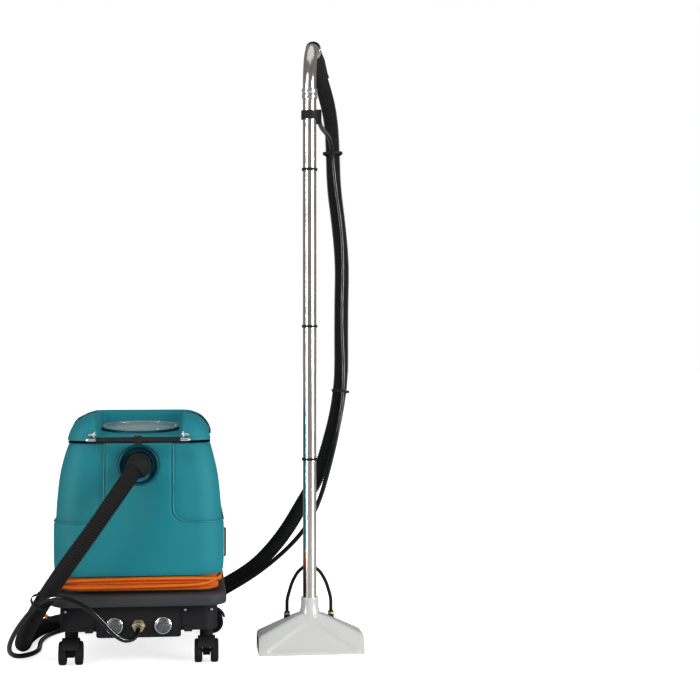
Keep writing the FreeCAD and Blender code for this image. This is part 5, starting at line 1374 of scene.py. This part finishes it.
@dataclass
class Bail:
    """The chrome wire bail with ringed eyelets, its ribbed black sleeve and the centre clip."""

    wire: float = 0.0035
    bend: float = 0.012
    sleeve: float = 0.0068
    clip_half: float = 0.009

    def build(self, bench: Bench) -> None:
        """Carries the wire round its corners and turns the sleeve about the cross bar."""
        low, high = bench.box("carry_bail")
        grip_low, grip_high = bench.box("bail_grip")
        _, lug_high = bench.box("bail_lugs")
        reach = high[0] - self.wire
        y0, z0 = high[1] - self.wire, high[2] - self.wire
        y1, z1 = low[1] + self.wire, low[2] + self.wire
        arm = np.array([y1 - y0, z1 - z0])
        along = arm / np.linalg.norm(arm)
        points = [(reach - 0.019, y0, z0), (reach - self.bend, y0, z0), (reach, y0, z0),
                  (reach, y0 + along[0] * self.bend, z0 + along[1] * self.bend),
                  (reach, y1 - along[0] * self.bend, z1 - along[1] * self.bend), (reach, y1, z1),
                  (reach - self.bend, y1, z1), (0.02, y1, z1)]
        right = chaikin(points, 3)
        path = np.concatenate([right, (right * [-1, 1, 1])[::-1]])
        bench.piece("bail_wire", Solid().loft(carried(even_path(path, 220), self.wire, 16)), Finishes.CHROME,
                    "bail", ("carry_bail",), 60)
        half = (grip_high[0] - grip_low[0]) / 2
        station = np.linspace(-half, half, 260)
        groove = (0.0005 * (0.5 + 0.5 * np.cos(station / 0.004 * TAU))
                  * ease(np.abs(station), half - 0.004, half - 0.010))
        end = np.sqrt(np.clip(1 - (np.clip(np.abs(station) - half + 0.003, 0, 0.003) / 0.003) ** 2, 0, 1))
        radius = (self.sleeve - groove) * (0.72 + 0.28 * end)
        sleeve = Solid().loft(turned(np.stack([radius, station], axis=1), (0.0, y1, z1), (1.0, 0.0, 0.0), 28))
        clip = soft_block((self.clip_half, 0.0092, 0.0092), (0.0, y1, z1), 0.0016, 0.003)
        sleeve.loft(clip)
        bench.piece("bail_sleeve", sleeve, Finishes.BLACK, "bail", ("bail_grip",), 50)
        lugs = Solid()
        thick = 0.003
        for side in (-1, 1):
            x = side * ((lug_high[0]) - 0.0084)
            eye = chaikin([(0.0036, -thick), (0.0086, -thick), (0.0086, thick), (0.0036, thick),
                           (0.0036, -thick)], 2)[:-1]
            lugs.hoop(turned(eye, (x, y0, z0), (1.0, 0.0, 0.0), 28))
            foot = soft_block((thick, 0.0125, 0.0065), (x, y0 + 0.0185, z0 + 0.001), 0.0012, 0.002)
            lugs.loft(foot)
        bench.piece("bail_eyelets", lugs, Finishes.CHROME, "lid", ("bail_lugs",), 45)


@dataclass
class HosePort:
    """The port's round recess, the black cuff ring with its notches, and the elbow to the hose."""

    recess: float = 0.0405
    notches: int = 12
    stations: int = 60
    sides: int = 40

    def build(self, bench: Bench) -> None:
        """Turns the boss about -Y, carries the elbow from the port's middle to the hose's end."""
        low, high = bench.box("port_boss")
        x, z = (low[0] + high[0]) / 2, (low[2] + high[2]) / 2
        radius = (high[0] - low[0]) / 2
        front = low[1]
        boss = chaikin([(0.0295, 0.030), (radius, 0.030), (radius, 0.0015), (radius - 0.0022, 0.0),
                        (self.recess + 0.0008, 0.0005), (self.recess, 0.0035), (0.0355, 0.0085),
                        (0.0295, 0.0085), (0.0295, 0.030)], 2)[:-1]
        # the boss takes the darker teal copy, painted shade in its recess
        bench.piece("port_boss_ring", Solid().hoop(turned(boss, (x, front, z), (0.0, 1.0, 0.0), 80)),
                    Finishes.TEAL_DEEP, "machine", ("port_boss",), 40)
        hose = VacuumHose()
        start = np.array([x, front + 0.022, z])
        end = np.array(hose.route[0])
        ahead = unit(np.array(hose.route[1]) - end)
        line = chaikin([tuple(start), (x, front + 0.004, z), (x, front - 0.013, z - 0.001),
                        tuple(end - ahead * 0.018), tuple(end)], 3)
        path = even_path(line, self.stations)
        share = np.linspace(0, 1, self.stations)
        girth = 0.0240 - 0.0010 * ease(share, 0.35, 0.8) + 0.0012 * ease(share, 0.90, 0.93)
        girth = girth - 0.0025 * ease(share, 0.985, 1.0)
        solid = Solid().loft(carried(path, girth, self.sides))
        profile = np.array([(0.0220, 0.0), (0.0270, 0.0), (0.0286, -0.002), (0.0286, -0.0105),
                            (0.0272, -0.0125), (0.0240, -0.0135), (0.0220, -0.0120)])
        band = turned(profile, (x, front + 0.0075, z), (0.0, 1.0, 0.0), self.notches * 8)
        solid.hoop(knurled(band, profile, (x, front, z), -0.0011, self.notches, (-0.2, 0.5), 0.0278))
        bench.piece("port_cuff_and_elbow", solid, Finishes.RUBBER, "machine", ("inlet_elbow",), 40)


# ---- undercarriage and controls ----------------------------------------------------------------
@dataclass
class BumperTray:
    """The dark grey bumper: a round-edged band that stands out round the chassis."""

    corner: float = 0.050
    section: tuple[tuple[float, float], ...] = (
        (0.0040, 0.0), (0.0012, 0.0012), (0.0, 0.0050), (0.0, 0.0190), (0.0014, 0.0240), (0.0050, 0.0270),
        (0.0105, 0.0274), (0.0240, 0.0272), (0.0620, 0.0270), (0.0620, 0.0004),
    )

    def build(self, bench: Bench) -> None:
        """Carries the band's section round the outline: how far in each point stands, and how high."""
        low, high = bench.box("bumper_tray")
        half_w, half_d = (high[0] - low[0]) / 2, (high[1] - low[1]) / 2
        line = chaikin(list(self.section), 1)
        outline = Outline(70, 80, 24)
        radius = np.maximum(self.corner - line[:, 0], 0.008)
        rings = outline.rings(half_w - line[:, 0], half_d - line[:, 0], radius, low[2] + line[:, 1])
        bench.piece("bumper_band", Solid().hoop(rings), Finishes.BUMPER, "machine", ("bumper_tray",), 40)


@dataclass
class Fascia:
    """Details of the chassis's front: a raised middle panel with two ribs, end lugs and screws."""

    half: float = 0.094
    proud: float = 0.0022
    lug: Point = (0.009, 0.004, 0.006)
    lug_x: float = 0.112
    screw: float = 0.0034

    def build(self, bench: Bench) -> None:
        """Lays the panel over the belly's face and sets the small parts round it."""
        low, high = bench.box("chassis")
        front, middle = low[1], (low[2] + high[2]) / 2
        panel = Solid()
        tall = (high[2] - low[2]) / 2 - 0.001
        panel.loft(soft_block((self.half, self.proud, tall), (0.0, front, middle), 0.0014, 0.002))
        for side in (-1, 1):
            panel.loft(soft_block((0.0016, self.proud + 0.0014, tall - 0.003),
                                  (side * self.half, front, middle), 0.0007))
            panel.loft(soft_block(self.lug, (side * self.lug_x, front - 0.001, low[2] + 0.018), 0.0018,
                                  0.002))
        bench.piece("chassis_front_panel", panel, Finishes.BLACK, "machine", sharp=40)
        screws = Solid()
        head = chaikin([(0.0002, 0.0016), (0.0024, 0.0014), (self.screw, 0.0004), (self.screw, -0.001)], 2)
        for x in (-0.165, -0.105, 0.105, 0.165):
            screws.loft(turned(head, (x, front, high[2] - 0.012), (0.0, -1.0, 0.0), 16))
        bench.piece("chassis_screws", screws, Finishes.STEEL, "machine")


@dataclass
class CasterWheels:
    """One caster's pair of wheels, with rounded treads, dished sides and hub caps."""

    name: str
    radius: float = 0.027
    gap: float = 0.0185
    bore: float = 0.0046

    def build(self, bench: Bench) -> None:
        """Turns both wheels about the axle, which lies across the fork's longer side."""
        node = f"caster_wheels_{self.name}"
        fork_low, fork_high = bench.box(f"caster_fork_{self.name}")
        along_y = fork_high[0] - fork_low[0] > fork_high[1] - fork_low[1]
        way = np.array([0.0, 1.0, 0.0] if along_y else [1.0, 0.0, 0.0])
        middle = bench.middle(node)
        middle[2] = self.radius
        r = self.radius
        tread = chaikin([(self.bore, -0.0088), (0.0200, -0.0088), (0.0242, -0.0086), (r - 0.0003, -0.0066),
                         (r, 0.0), (r - 0.0003, 0.0066), (0.0242, 0.0086), (0.0205, 0.0088), (0.0186, 0.0066),
                         (0.0120, 0.0066),
                         (0.0100, 0.0084), (self.bore, 0.0084), (self.bore, -0.0088)], 1)[:-1]
        cap = chaikin([(0.0002, 0.0091), (0.0062, 0.0089), (0.0086, 0.0080), (0.0086, 0.0066),
                       (0.0002, 0.0066)], 1)
        solid = Solid()
        for side in (-1, 1):
            centre = tuple(middle + way * side * self.gap)
            solid.hoop(turned(tread, centre, tuple(way * side), 56))
            solid.loft(turned(cap, centre, tuple(way * side), 32))
        bench.piece(f"twin_wheels_{self.name}", solid, Finishes.RUBBER, f"wheels_{self.name}", (node,), 40)


@dataclass
class Controls:
    """The two switches with chrome bezels and clear boots, and the hose's quick coupler."""

    ring: float = 0.0205
    knurls: int = 30

    def build(self, bench: Bench) -> None:
        """Turns the bezels, boots, coupler and collar about the front's outward direction."""
        front = float(bench.box("chassis")[0][1])
        ahead = (0.0, -1.0, 0.0)
        bezels, boots = Solid(), Solid()
        bezel = chaikin([(self.ring, 0.0004), (self.ring, 0.0040), (0.0194, 0.0062), (0.0176, 0.0066),
                         (0.0164, 0.0058), (0.0162, 0.0004), (self.ring, 0.0004)], 1)[:-1]
        boot = np.array([(0.0003, 0.0120), (0.0030, 0.0119), (0.0070, 0.0114), (0.0110, 0.0102),
                         (0.0146, 0.0084),
                         (0.0174, 0.0065), (0.0168, 0.0062), (0.0140, 0.0079), (0.0106, 0.0094),
                         (0.0066, 0.0105), (0.0003, 0.0111)])
        for side in ("left", "right"):
            x, _, z = bench.middle(f"switch_{side}_rocker")
            bezels.hoop(turned(bezel, (x, front, z), ahead, 48))
            boots.loft(turned(boot, (x, front, z), ahead, 40))
        bench.piece("switch_bezels", bezels, Finishes.CHROME, "machine", sharp=50)
        bench.piece("switch_boot_domes", boots, Finishes.BOOT, "machine", ("switch_boots",), 50)
        x, _, z = bench.middle("coupler_body")
        body = Solid()
        nut = chaikin([(0.0002, 0.0050), (0.0140, 0.0050), (0.0158, 0.0042), (0.0160, 0.0002),
                       (0.0160, -0.010)], 1)
        body.loft(turned(nut, (x, front, z), ahead, 6))
        stem = chaikin([(0.0002, 0.0296), (0.0058, 0.0296), (0.0068, 0.0286), (0.0068, 0.0040),
                        (0.0068, -0.012)], 1)
        body.loft(turned(stem, (x, front, z), ahead, 32))
        bench.piece("coupler_nut_and_stem", body, Finishes.BRASS, "machine", ("coupler_body",))
        sides = self.knurls * 6
        sleeve = np.array([(0.0071, 0.0125), (0.0110, 0.0125), (0.0117, 0.0132), (0.0117, 0.0180),
                           (0.0106, 0.0190),
                           (0.0106, 0.0210), (0.0117, 0.0220), (0.0117, 0.0270), (0.0108, 0.0278),
                           (0.0071, 0.0278)])
        rings = turned(sleeve, (x, front, z), ahead, sides)
        rings = knurled(rings, sleeve, (x, front, z), 0.00045, self.knurls, (0.1, 0.8), 0.0115)
        bench.piece("coupler_sleeve_ring", Solid().hoop(rings), Finishes.STEEL, "coupler_sleeve",
                    ("coupler_collar",), 40)
        ferrule = chaikin([(0.0002, 0.0304), (0.0066, 0.0304), (0.0070, 0.0312), (0.0070, 0.0450),
                           (0.0064, 0.0466), (0.0002, 0.0466)], 1)
        bench.piece("hose_ferrule", Solid().loft(turned(ferrule, (x, front, z), ahead, 28)), Finishes.BRASS,
                    "machine", ("hose_tail",))


@dataclass
class CordFittings:
    """The gland with its tapered strain relief, and the plug on the cord's tail."""

    relief: float = 0.028

    def build(self, bench: Bench) -> None:
        """Carries the tapered, ringed relief along the cord's lead, and builds the plug."""
        lead = np.array(MainsCord().lead)
        low, _ = bench.box("cord_gland")
        _, y, z = bench.middle("cord_gland")
        solid = Solid()
        nut = chaikin([(0.0045, 0.0), (0.0112, 0.0), (0.0112, 0.0040), (0.0100, 0.0052), (0.0045, 0.0052),
                       (0.0045, 0.0)],
                      1)[:-1]
        solid.hoop(turned(nut, (low[0] + 0.0046, y, z), (-1.0, 0.0, 0.0), 6))
        path = even_path(chaikin([tuple(lead[0] + [0.004, 0, 0])] + [tuple(p) for p in lead[:5]], 3), 200)
        walked = np.concatenate([[0], np.cumsum(np.linalg.norm(np.diff(path, axis=0), axis=1))])
        path = path[walked <= self.relief + 0.004]
        share = np.linspace(0, 1, len(path))
        ribs = 0.0006 * ease(np.cos(share * 6 * TAU), 0.2, 0.8)
        solid.loft(carried(path, 0.0074 - 0.0026 * share - ribs * (share < 0.92), 24))
        bench.piece("gland_and_relief", solid, Finishes.RUBBER, "machine", ("cord_gland",), 40)
        low, high = bench.box("mains_plug")
        x, y = (low[0] + high[0]) / 2, (low[1] + high[1]) / 2
        plug = Solid()
        grip = chaikin([(0.0046, high[2] - 0.0005), (0.0062, high[2] - 0.003), (0.0058, high[2] - 0.006),
                        (0.0080, high[2] - 0.010), (0.0120, high[2] - 0.018), (0.0100, high[2] - 0.026)], 2)
        plug.loft(turned(grip, (x, y, 0.0), (0.0, 0.0, 1.0), 28))
        plug.loft(soft_block((0.0165, 0.0115, 0.0115), (x, y, low[2] + 0.028), 0.0025, 0.006))
        bench.piece("plug_body", plug, Finishes.RUBBER, "machine", ("mains_plug",), 45)
        pins = Solid()
        for across, back in ((-0.009, 0.0), (0.009, 0.0), (0.0, 0.006)):
            pin = [(0.0002, 0.0), (0.0016, 0.0), (0.0022, 0.0010), (0.0022, 0.018), (0.0002, 0.018)]
            pins.loft(turned(np.array(pin), (x + across, y + back, low[2]), (0.0, 0.0, 1.0), 16))
        bench.piece("plug_pins", pins, Finishes.BRASS, "machine")


# ---- wand and floor head -----------------------------------------------------------------------
@dataclass
class WandTube:
    """The polished wand: the straight tube, the joint ring, the bent top and the hose's cuff."""

    radius: float = 0.016
    wall: float = 0.0015
    bend_start: float = 0.022
    bend_radius: float = 0.100
    bend_angle: float = 105.0
    bend_yaw: float = 10.0
    cuff_tip: float = 0.0225

    def bend_path(self, foot: Array) -> Array:
        """The bent tube's middle line: straight up from the joint, then an arc towards the back."""
        turn = np.radians(np.linspace(0, self.bend_angle, 64))
        yaw = math.radians(self.bend_yaw)
        away = self.bend_radius * (1 - np.cos(turn))
        up = self.bend_start + self.bend_radius * np.sin(turn)
        arc = np.stack([away * math.sin(yaw), away * math.cos(yaw), up], axis=1)
        straight = np.array([[0.0, 0.0, h] for h in np.linspace(0.0002, self.bend_start - 0.001, 6)])
        return foot + np.concatenate([straight, arc])

    def build(self, bench: Bench) -> None:
        """Turns the tube and its rings, carries the bend and its cuff."""
        low, high = bench.box("wand_tube")
        x, y, _ = bench.middle("wand_tube")
        r, inner = self.radius, self.radius - self.wall
        tall = high[2] - low[2]
        heights = np.linspace(0.0006, tall - 0.0006, 60)
        side = ([(inner, 0.0006), (r - 0.0004, 0.0)] + [(r, h) for h in heights]
                + [(r - 0.0004, tall), (inner, tall - 0.0006)])
        tube = Solid().hoop(turned(np.array(side), (x, y, low[2]), (0.0, 0.0, 1.0), 64))
        bench.piece("wand_tube_polished", tube, Finishes.TUBE, "wand", ("wand_tube",), 50)
        _, _, joint = bench.middle("joint_ring")
        edge = r + 0.0002
        ring = chaikin([(edge, -0.012), (0.0182, -0.012), (0.0186, -0.0100), (0.0186, -0.0030),
                        (0.0174, -0.0016),
                        (0.0174, 0.0016), (0.0186, 0.0030), (0.0186, 0.0100), (0.0182, 0.012), (edge, 0.012),
                        (edge, -0.012)], 1)[:-1]
        rings = Solid().hoop(turned(ring, (x, y, joint), (0.0, 0.0, 1.0), 56))
        bench.piece("joint_ring_turned", rings, Finishes.CHROME, "wand", ("joint_ring",), 45)
        path = self.bend_path(np.array([x, y, joint]))
        outer = carried(path, r, 48)
        inside = carried(path, inner, 48)[::-1]
        bend = Solid().hoop(np.concatenate([outer, inside]))
        bench.piece("wand_bend_polished", bend, Finishes.TUBE, "wand", ("wand_bend",), 50)
        end, ahead = path[-1], unit(path[-1] - path[-3])
        collar = chaikin([(edge, -0.036), (0.0180, -0.036), (0.0186, -0.034), (0.0186, -0.026),
                          (0.0176, -0.0245),
                          (0.0176, -0.0225), (0.0186, -0.021), (0.0186, -0.008), (0.0180, -0.006),
                          (edge, -0.006), (edge, -0.036)], 1)[:-1]
        collars = Solid().hoop(turned(collar, tuple(end), tuple(ahead), 48))
        bench.piece("bend_end_collar", collars, Finishes.CHROME, "wand", sharp=45)
        hose_end = np.array(VacuumHose().route[-1])
        hose_way = unit(np.array(VacuumHose().route[-2]) - hose_end)
        line = chaikin([tuple(end + ahead * 0.0006), tuple(end + ahead * 0.030),
                        tuple(hose_end + ahead * 0.012), tuple(hose_end + hose_way * 0.022)], 3)
        cuff = even_path(line, 90)
        share = np.linspace(0, 1, 90)
        girth = 0.0188 + (self.cuff_tip - 0.0188) * ease(share, 0.02, 0.4)
        girth = (girth - 0.0009 * ease(np.cos(share * 8 * TAU), 0.2, 0.8) * ease(share, 0.5, 0.55)
                 * ease(share, 0.98, 0.94))
        bench.piece("hose_cuff_ringed", Solid().loft(carried(cuff, girth, 40)), Finishes.RUBBER, "wand",
                    ("hose_cuff",), 40)


@dataclass
class FloorHead:
    """The white floor head: a pitched hood, open below, with its neck and its recessed front panel."""

    wall: float = 0.003
    across: int = 201
    ridge: float = 0.0225
    neck: float = 0.0205
    end_height: float = 0.041
    roof: float = 0.090
    lip: float = 0.014
    heel: float = 0.040
    soft: float = 0.006
    panel_depth: float = 0.0100
    apex: float = 0.078

    def roof_at(self, x: Array) -> Array:
        """The roof's height across the head: level at the middle and pitched to both ends."""
        half = 0.125
        slope = (self.roof - self.end_height) / (half - self.ridge)
        pitched = self.roof - slope * np.maximum(np.abs(x) - self.ridge, 0)
        soft_ridge = 0.004 * np.exp(-((np.abs(x) - self.ridge) / 0.012) ** 2)
        ends = 0.0025 * ease(np.abs(x), half - 0.006, half) ** 2
        return pitched - soft_ridge * 0.5 - ends

    def section(self, x: Array, grow: float) -> Array:
        """Sections of the hood from front to back, one for each place across.

        Args:
            x: Places across the head.
            grow: How far inside the outer skin the section lies.

        Returns:
            Points (places, steps, 3) that run over the roof from the front lip to the heel.
        """
        front, heel, wand_y = -0.150 + grow, -0.040 - grow, -0.080
        top = self.roof_at(x) - grow
        share = np.linspace(0, 1, 141)
        slope_front = (self.roof - self.lip) / ((wand_y - self.ridge) + 0.150)
        slope_back = (self.roof - self.heel) / (-0.040 - (wand_y + self.ridge))
        y = front + (heel - front) * (0.5 - 0.5 * np.cos(share * math.pi))
        rise = self.lip - grow + (y[None, :] - front) * slope_front
        fall = self.heel - grow + (heel - y[None, :]) * slope_back
        lowest = np.minimum(np.minimum(rise, fall), top[:, None])
        k = self.soft
        peak = -k * np.log(np.exp(-rise / k) + np.exp(-fall / k) + np.exp(-top[:, None] / k))
        z = np.maximum(np.minimum(peak + k * 0.35, lowest + 0.001), 0.004)
        points = np.stack(np.broadcast_arrays(x[:, None], y[None, :], z), axis=2)
        if grow == 0:
            points[..., 2] -= self.panel(points)
        return points

    def panel(self, points: Array) -> Array:
        """How deep the front panel is pressed in: a triangle with a round apex under the neck."""
        x, y, z = points[..., 0], points[..., 1], points[..., 2]
        edge = self.apex * (1.06 - np.hypot(x, 0.016) / 0.124)
        lower = ease(z, 0.013, 0.016)
        return self.panel_depth * ease(edge - z, 0.0, 0.0022) * (y < -0.085) * lower

    def build(self, bench: Bench) -> None:
        """Lofts the hood as a C-shaped section across, shuts its ends, and adds the neck and glide."""
        low, high = bench.box("floor_head")
        half = (high[0] - low[0]) / 2
        middle = (low[0] + high[0]) / 2
        x = np.sin(np.linspace(-1, 1, self.across) * math.pi / 2) * half
        outer = self.section(x, 0.0)
        inner = self.section(x, self.wall)[:, ::-1]
        foot = np.stack([x, np.full_like(x, -0.150), np.zeros_like(x)], axis=1)[:, None]
        heel_foot = np.stack([x, np.full_like(x, -0.040), np.full_like(x, 0.002)], axis=1)[:, None]
        inner_heel = np.stack([x, np.full_like(x, -0.040 - self.wall), np.full_like(x, 0.002)], axis=1)[:,
                                                                                                        None]
        inner_foot = np.stack([x, np.full_like(x, -0.150 + self.wall), np.zeros_like(x)], axis=1)[:, None]
        rings = (np.concatenate([foot, outer, heel_foot, inner_heel, inner, inner_foot], axis=1)
                 + [middle, 0, 0])
        hood = Solid().loft(rings)
        for side in (-1, 1):
            plate_x = side * (half - self.wall / 2)
            edge = self.section(np.array([plate_x * 0.999]), 0.0004)[0]
            loop = np.concatenate([[[plate_x, -0.1496, 0.0004]], edge, [[plate_x, -0.0404, 0.0024]]])
            thick = np.array([[-self.wall / 2 + 0.0002, 0, 0], [self.wall / 2 - 0.0002, 0, 0]])
            hood.loft(loop[None] + thick[:, None] + [middle, 0, 0])
        bench.piece("head_hood", hood, Finishes.WHITE, "wand", ("floor_head",), 42)
        tall = high[2]
        neck = chaikin([(0.0163, 0.076), (0.0330, 0.0790), (0.0262, 0.0880), (0.0222, 0.0980),
                        (self.neck, 0.1080),
                        (self.neck, tall - 0.001), (self.neck - 0.0012, tall), (0.0163, tall),
                        (0.0163, 0.076)], 2)[:-1]
        bench.piece("head_neck", Solid().hoop(turned(neck, (middle, -0.080, 0.0), (0.0, 0.0, 1.0), 72)),
                    Finishes.WHITE, "wand", sharp=50)
        glide_low, glide_high = bench.box("head_glide")
        size = (glide_high - glide_low) / 2
        bench.piece("glide_rail",
                    Solid().loft(soft_block(tuple(size), tuple((glide_low + glide_high) / 2), 0.0012, 0.002)),
                    Finishes.GREY_WHITE, "wand", ("head_glide",))


@dataclass
class JetLines:
    """The small black collars where the two jet lines meet the head; the lines are CAD meshes."""

    spread: float = 0.053
    jet_y: float = -0.058
    foot_z: float = 0.0740
    sides: int = 28

    def build(self, bench: Bench) -> None:
        """Turns one collar at the foot of each jet line."""
        low, high = bench.box("jet_lines")
        middle = (low[0] + high[0]) / 2
        collars = Solid()
        collar = chaikin([(0.0002, 0.016), (0.0050, 0.016), (0.0068, 0.013), (0.0070, 0.004), (0.0076, 0.0),
                          (0.0076, -0.006), (0.0002, -0.006)], 1)
        for side in (-1, 1):
            collars.loft(turned(collar, (middle + side * self.spread, self.jet_y, self.foot_z),
                                (0.0, 0.0, 1.0), self.sides))
        bench.piece("jet_collars", collars, Finishes.BLACK, "wand", sharp=40)


@dataclass
class HoseTies:
    """The three black ties round the hoses; the low one stays with the machine, the others tilt."""

    width: float = 0.0065
    thick: float = 0.0016
    slack: float = 0.0003
    hose_radius: float = 0.0190
    line_radius: float = 0.0055
    stations: int = 2400
    places: tuple[Point, ...] = ((-0.206, -0.284, 0.166), (0.506, 0.198, 0.610), (0.489, 0.241, 1.226))

    def loop(self, hose: Array, other: Array) -> Array:
        """A strap's closed line round two circles: the vacuum hose's, and the smaller one beside it."""
        way = unit(hose[1] - hose[0])
        offset = other - hose[0]
        offset = offset - way * (offset @ way)
        side = unit(offset)
        across = np.cross(way, side)
        angle = np.linspace(0, TAU, 97)[:-1]
        big = self.hose_radius + self.thick / 2 + self.slack
        small = self.line_radius + self.thick / 2 + self.slack
        gap = np.linalg.norm(offset)
        direction = np.cos(angle)[:, None] * side + np.sin(angle)[:, None] * across
        reach = np.maximum(big, gap * np.cos(angle) + small)
        return hose[0] + direction * reach[:, None]

    def build(self, bench: Bench) -> None:
        """Builds each strap as a flat band round its line, with the body that it moves with."""
        vacuum_route = Route("tie_vacuum", np.array(VacuumHose().route) + bench.origin)
        vacuum = even_path(vacuum_route.line(), self.stations) - bench.origin
        solution_route = Route("tie_solution", np.array(SolutionHose().route) + bench.origin)
        solution = even_path(solution_route.line(), self.stations) - bench.origin
        for number, place in enumerate(self.places):
            near = int(np.argmin(np.linalg.norm(vacuum - np.array(place), axis=1)))
            other = solution[int(np.argmin(np.linalg.norm(solution - vacuum[near], axis=1)))]
            hose = vacuum[near:near + 2]
            way = unit(hose[1] - hose[0])
            line = self.loop(hose, other)
            outward = unit(line - hose[0])
            half, thick = way * self.width / 2, self.thick / 2
            rings = np.stack([line - half - outward * thick, line + half - outward * thick,
                              line + half + outward * thick, line - half + outward * thick], axis=1)
            body = "machine" if number == 0 else "wand"
            bench.piece(f"hose_tie_{number + 1}", Solid().hoop(rings), Finishes.BLACK, body, ("hose_ties",),
                        40)


@dataclass
class RearFittings:
    """The rear drain cap with its grip ribs, and the thin level tube on the right."""

    ribs: int = 24
    level: float = 0.0021
    stand_off: float = 0.0028

    def build(self, bench: Bench) -> None:
        """Turns the cap with its ribs about +Y, and carries the level tube."""
        low, high = bench.box("drain_cap")
        x, _, z = bench.middle("drain_cap")
        sides = self.ribs * 6
        deep = high[1] - low[1]
        cap = np.array([(0.0206, 0.0), (0.0262, 0.0), (0.0272, 0.0014), (0.0272, deep - 0.003),
                        (0.0250, deep - 0.0006),
                        (0.0150, deep), (0.0004, deep), (0.0004, deep - 0.0026), (0.0206, deep - 0.0026)])
        rings = turned(cap, (x, low[1], z), (0.0, 1.0, 0.0), sides)
        rings = knurled(rings, cap, (x, low[1], z), 0.0012, self.ribs, (0.2, 0.9), 0.0255)
        bench.piece("drain_cap_ribbed", Solid().hoop(rings), Finishes.BLACK, "drain_cap", ("drain_cap",), 40)
        low, high = bench.box("level_tube")
        y, wall, out = (low[1] + high[1]) / 2, low[0] + 0.0002, low[0] + self.stand_off
        line = chaikin([(wall, y, low[2] + 0.003), (out, y, low[2] + 0.003), (out, y, low[2] + 0.012),
                        (out, y, high[2] - 0.012), (out, y, high[2] - 0.003), (wall, y, high[2] - 0.003)], 3)
        tube = Solid().loft(carried(even_path(line, 60), self.level, 14))
        bench.piece("level_strip", tube, Finishes.BLACK, "machine", ("level_tube",))


# ---- the whole machine -------------------------------------------------------------------------
KEPT = {
    Finishes.BLACK: (
        "chassis", "cord_neck", "switch_housings", "wand_ties", "valve_body", "motor_rotor", "vacuum_motor",
        "terminal_box", "exhaust_duct", "recovery_tank", "float_cage", "pump", "caster_fork_front_left",
        "caster_fork_front_right", "caster_fork_rear_left", "caster_fork_rear_right", "switch_left_rocker",
        "switch_right_rocker",
    ),
    Finishes.RUBBER: ("drain_outlet", "jet_lines", "wand_line", "supply_line", "tank_gasket"),
    Finishes.STEEL: ("valve_trigger",),
    Finishes.BRASS: ("spray_jets",),
    Finishes.WHITE: ("float_ball",),
}
CASTERS = ("front_left", "front_right", "rear_left", "rear_right")


def main() -> None:
    """Builds every sub-assembly in order."""
    logging.basicConfig(level=logging.INFO, format="%(name)s: %(message)s")
    bench = Bench()
    stages = (
        Studio(), VacuumHose(), SolutionHose(), MainsCord(), HoseTies(), TankShell(), Lid(), Dome(), Bail(),
        HosePort(),
        BumperTray(), Fascia(), Controls(), CordFittings(), RearFittings(), WandTube(), FloorHead(),
        JetLines(),
    )
    for stage in stages + tuple(CasterWheels(name) for name in CASTERS):
        stage.build(bench)
    for finish, nodes in KEPT.items():
        for node in nodes:
            bench.dress(node, finish)


if __name__ == "__main__":
    main()
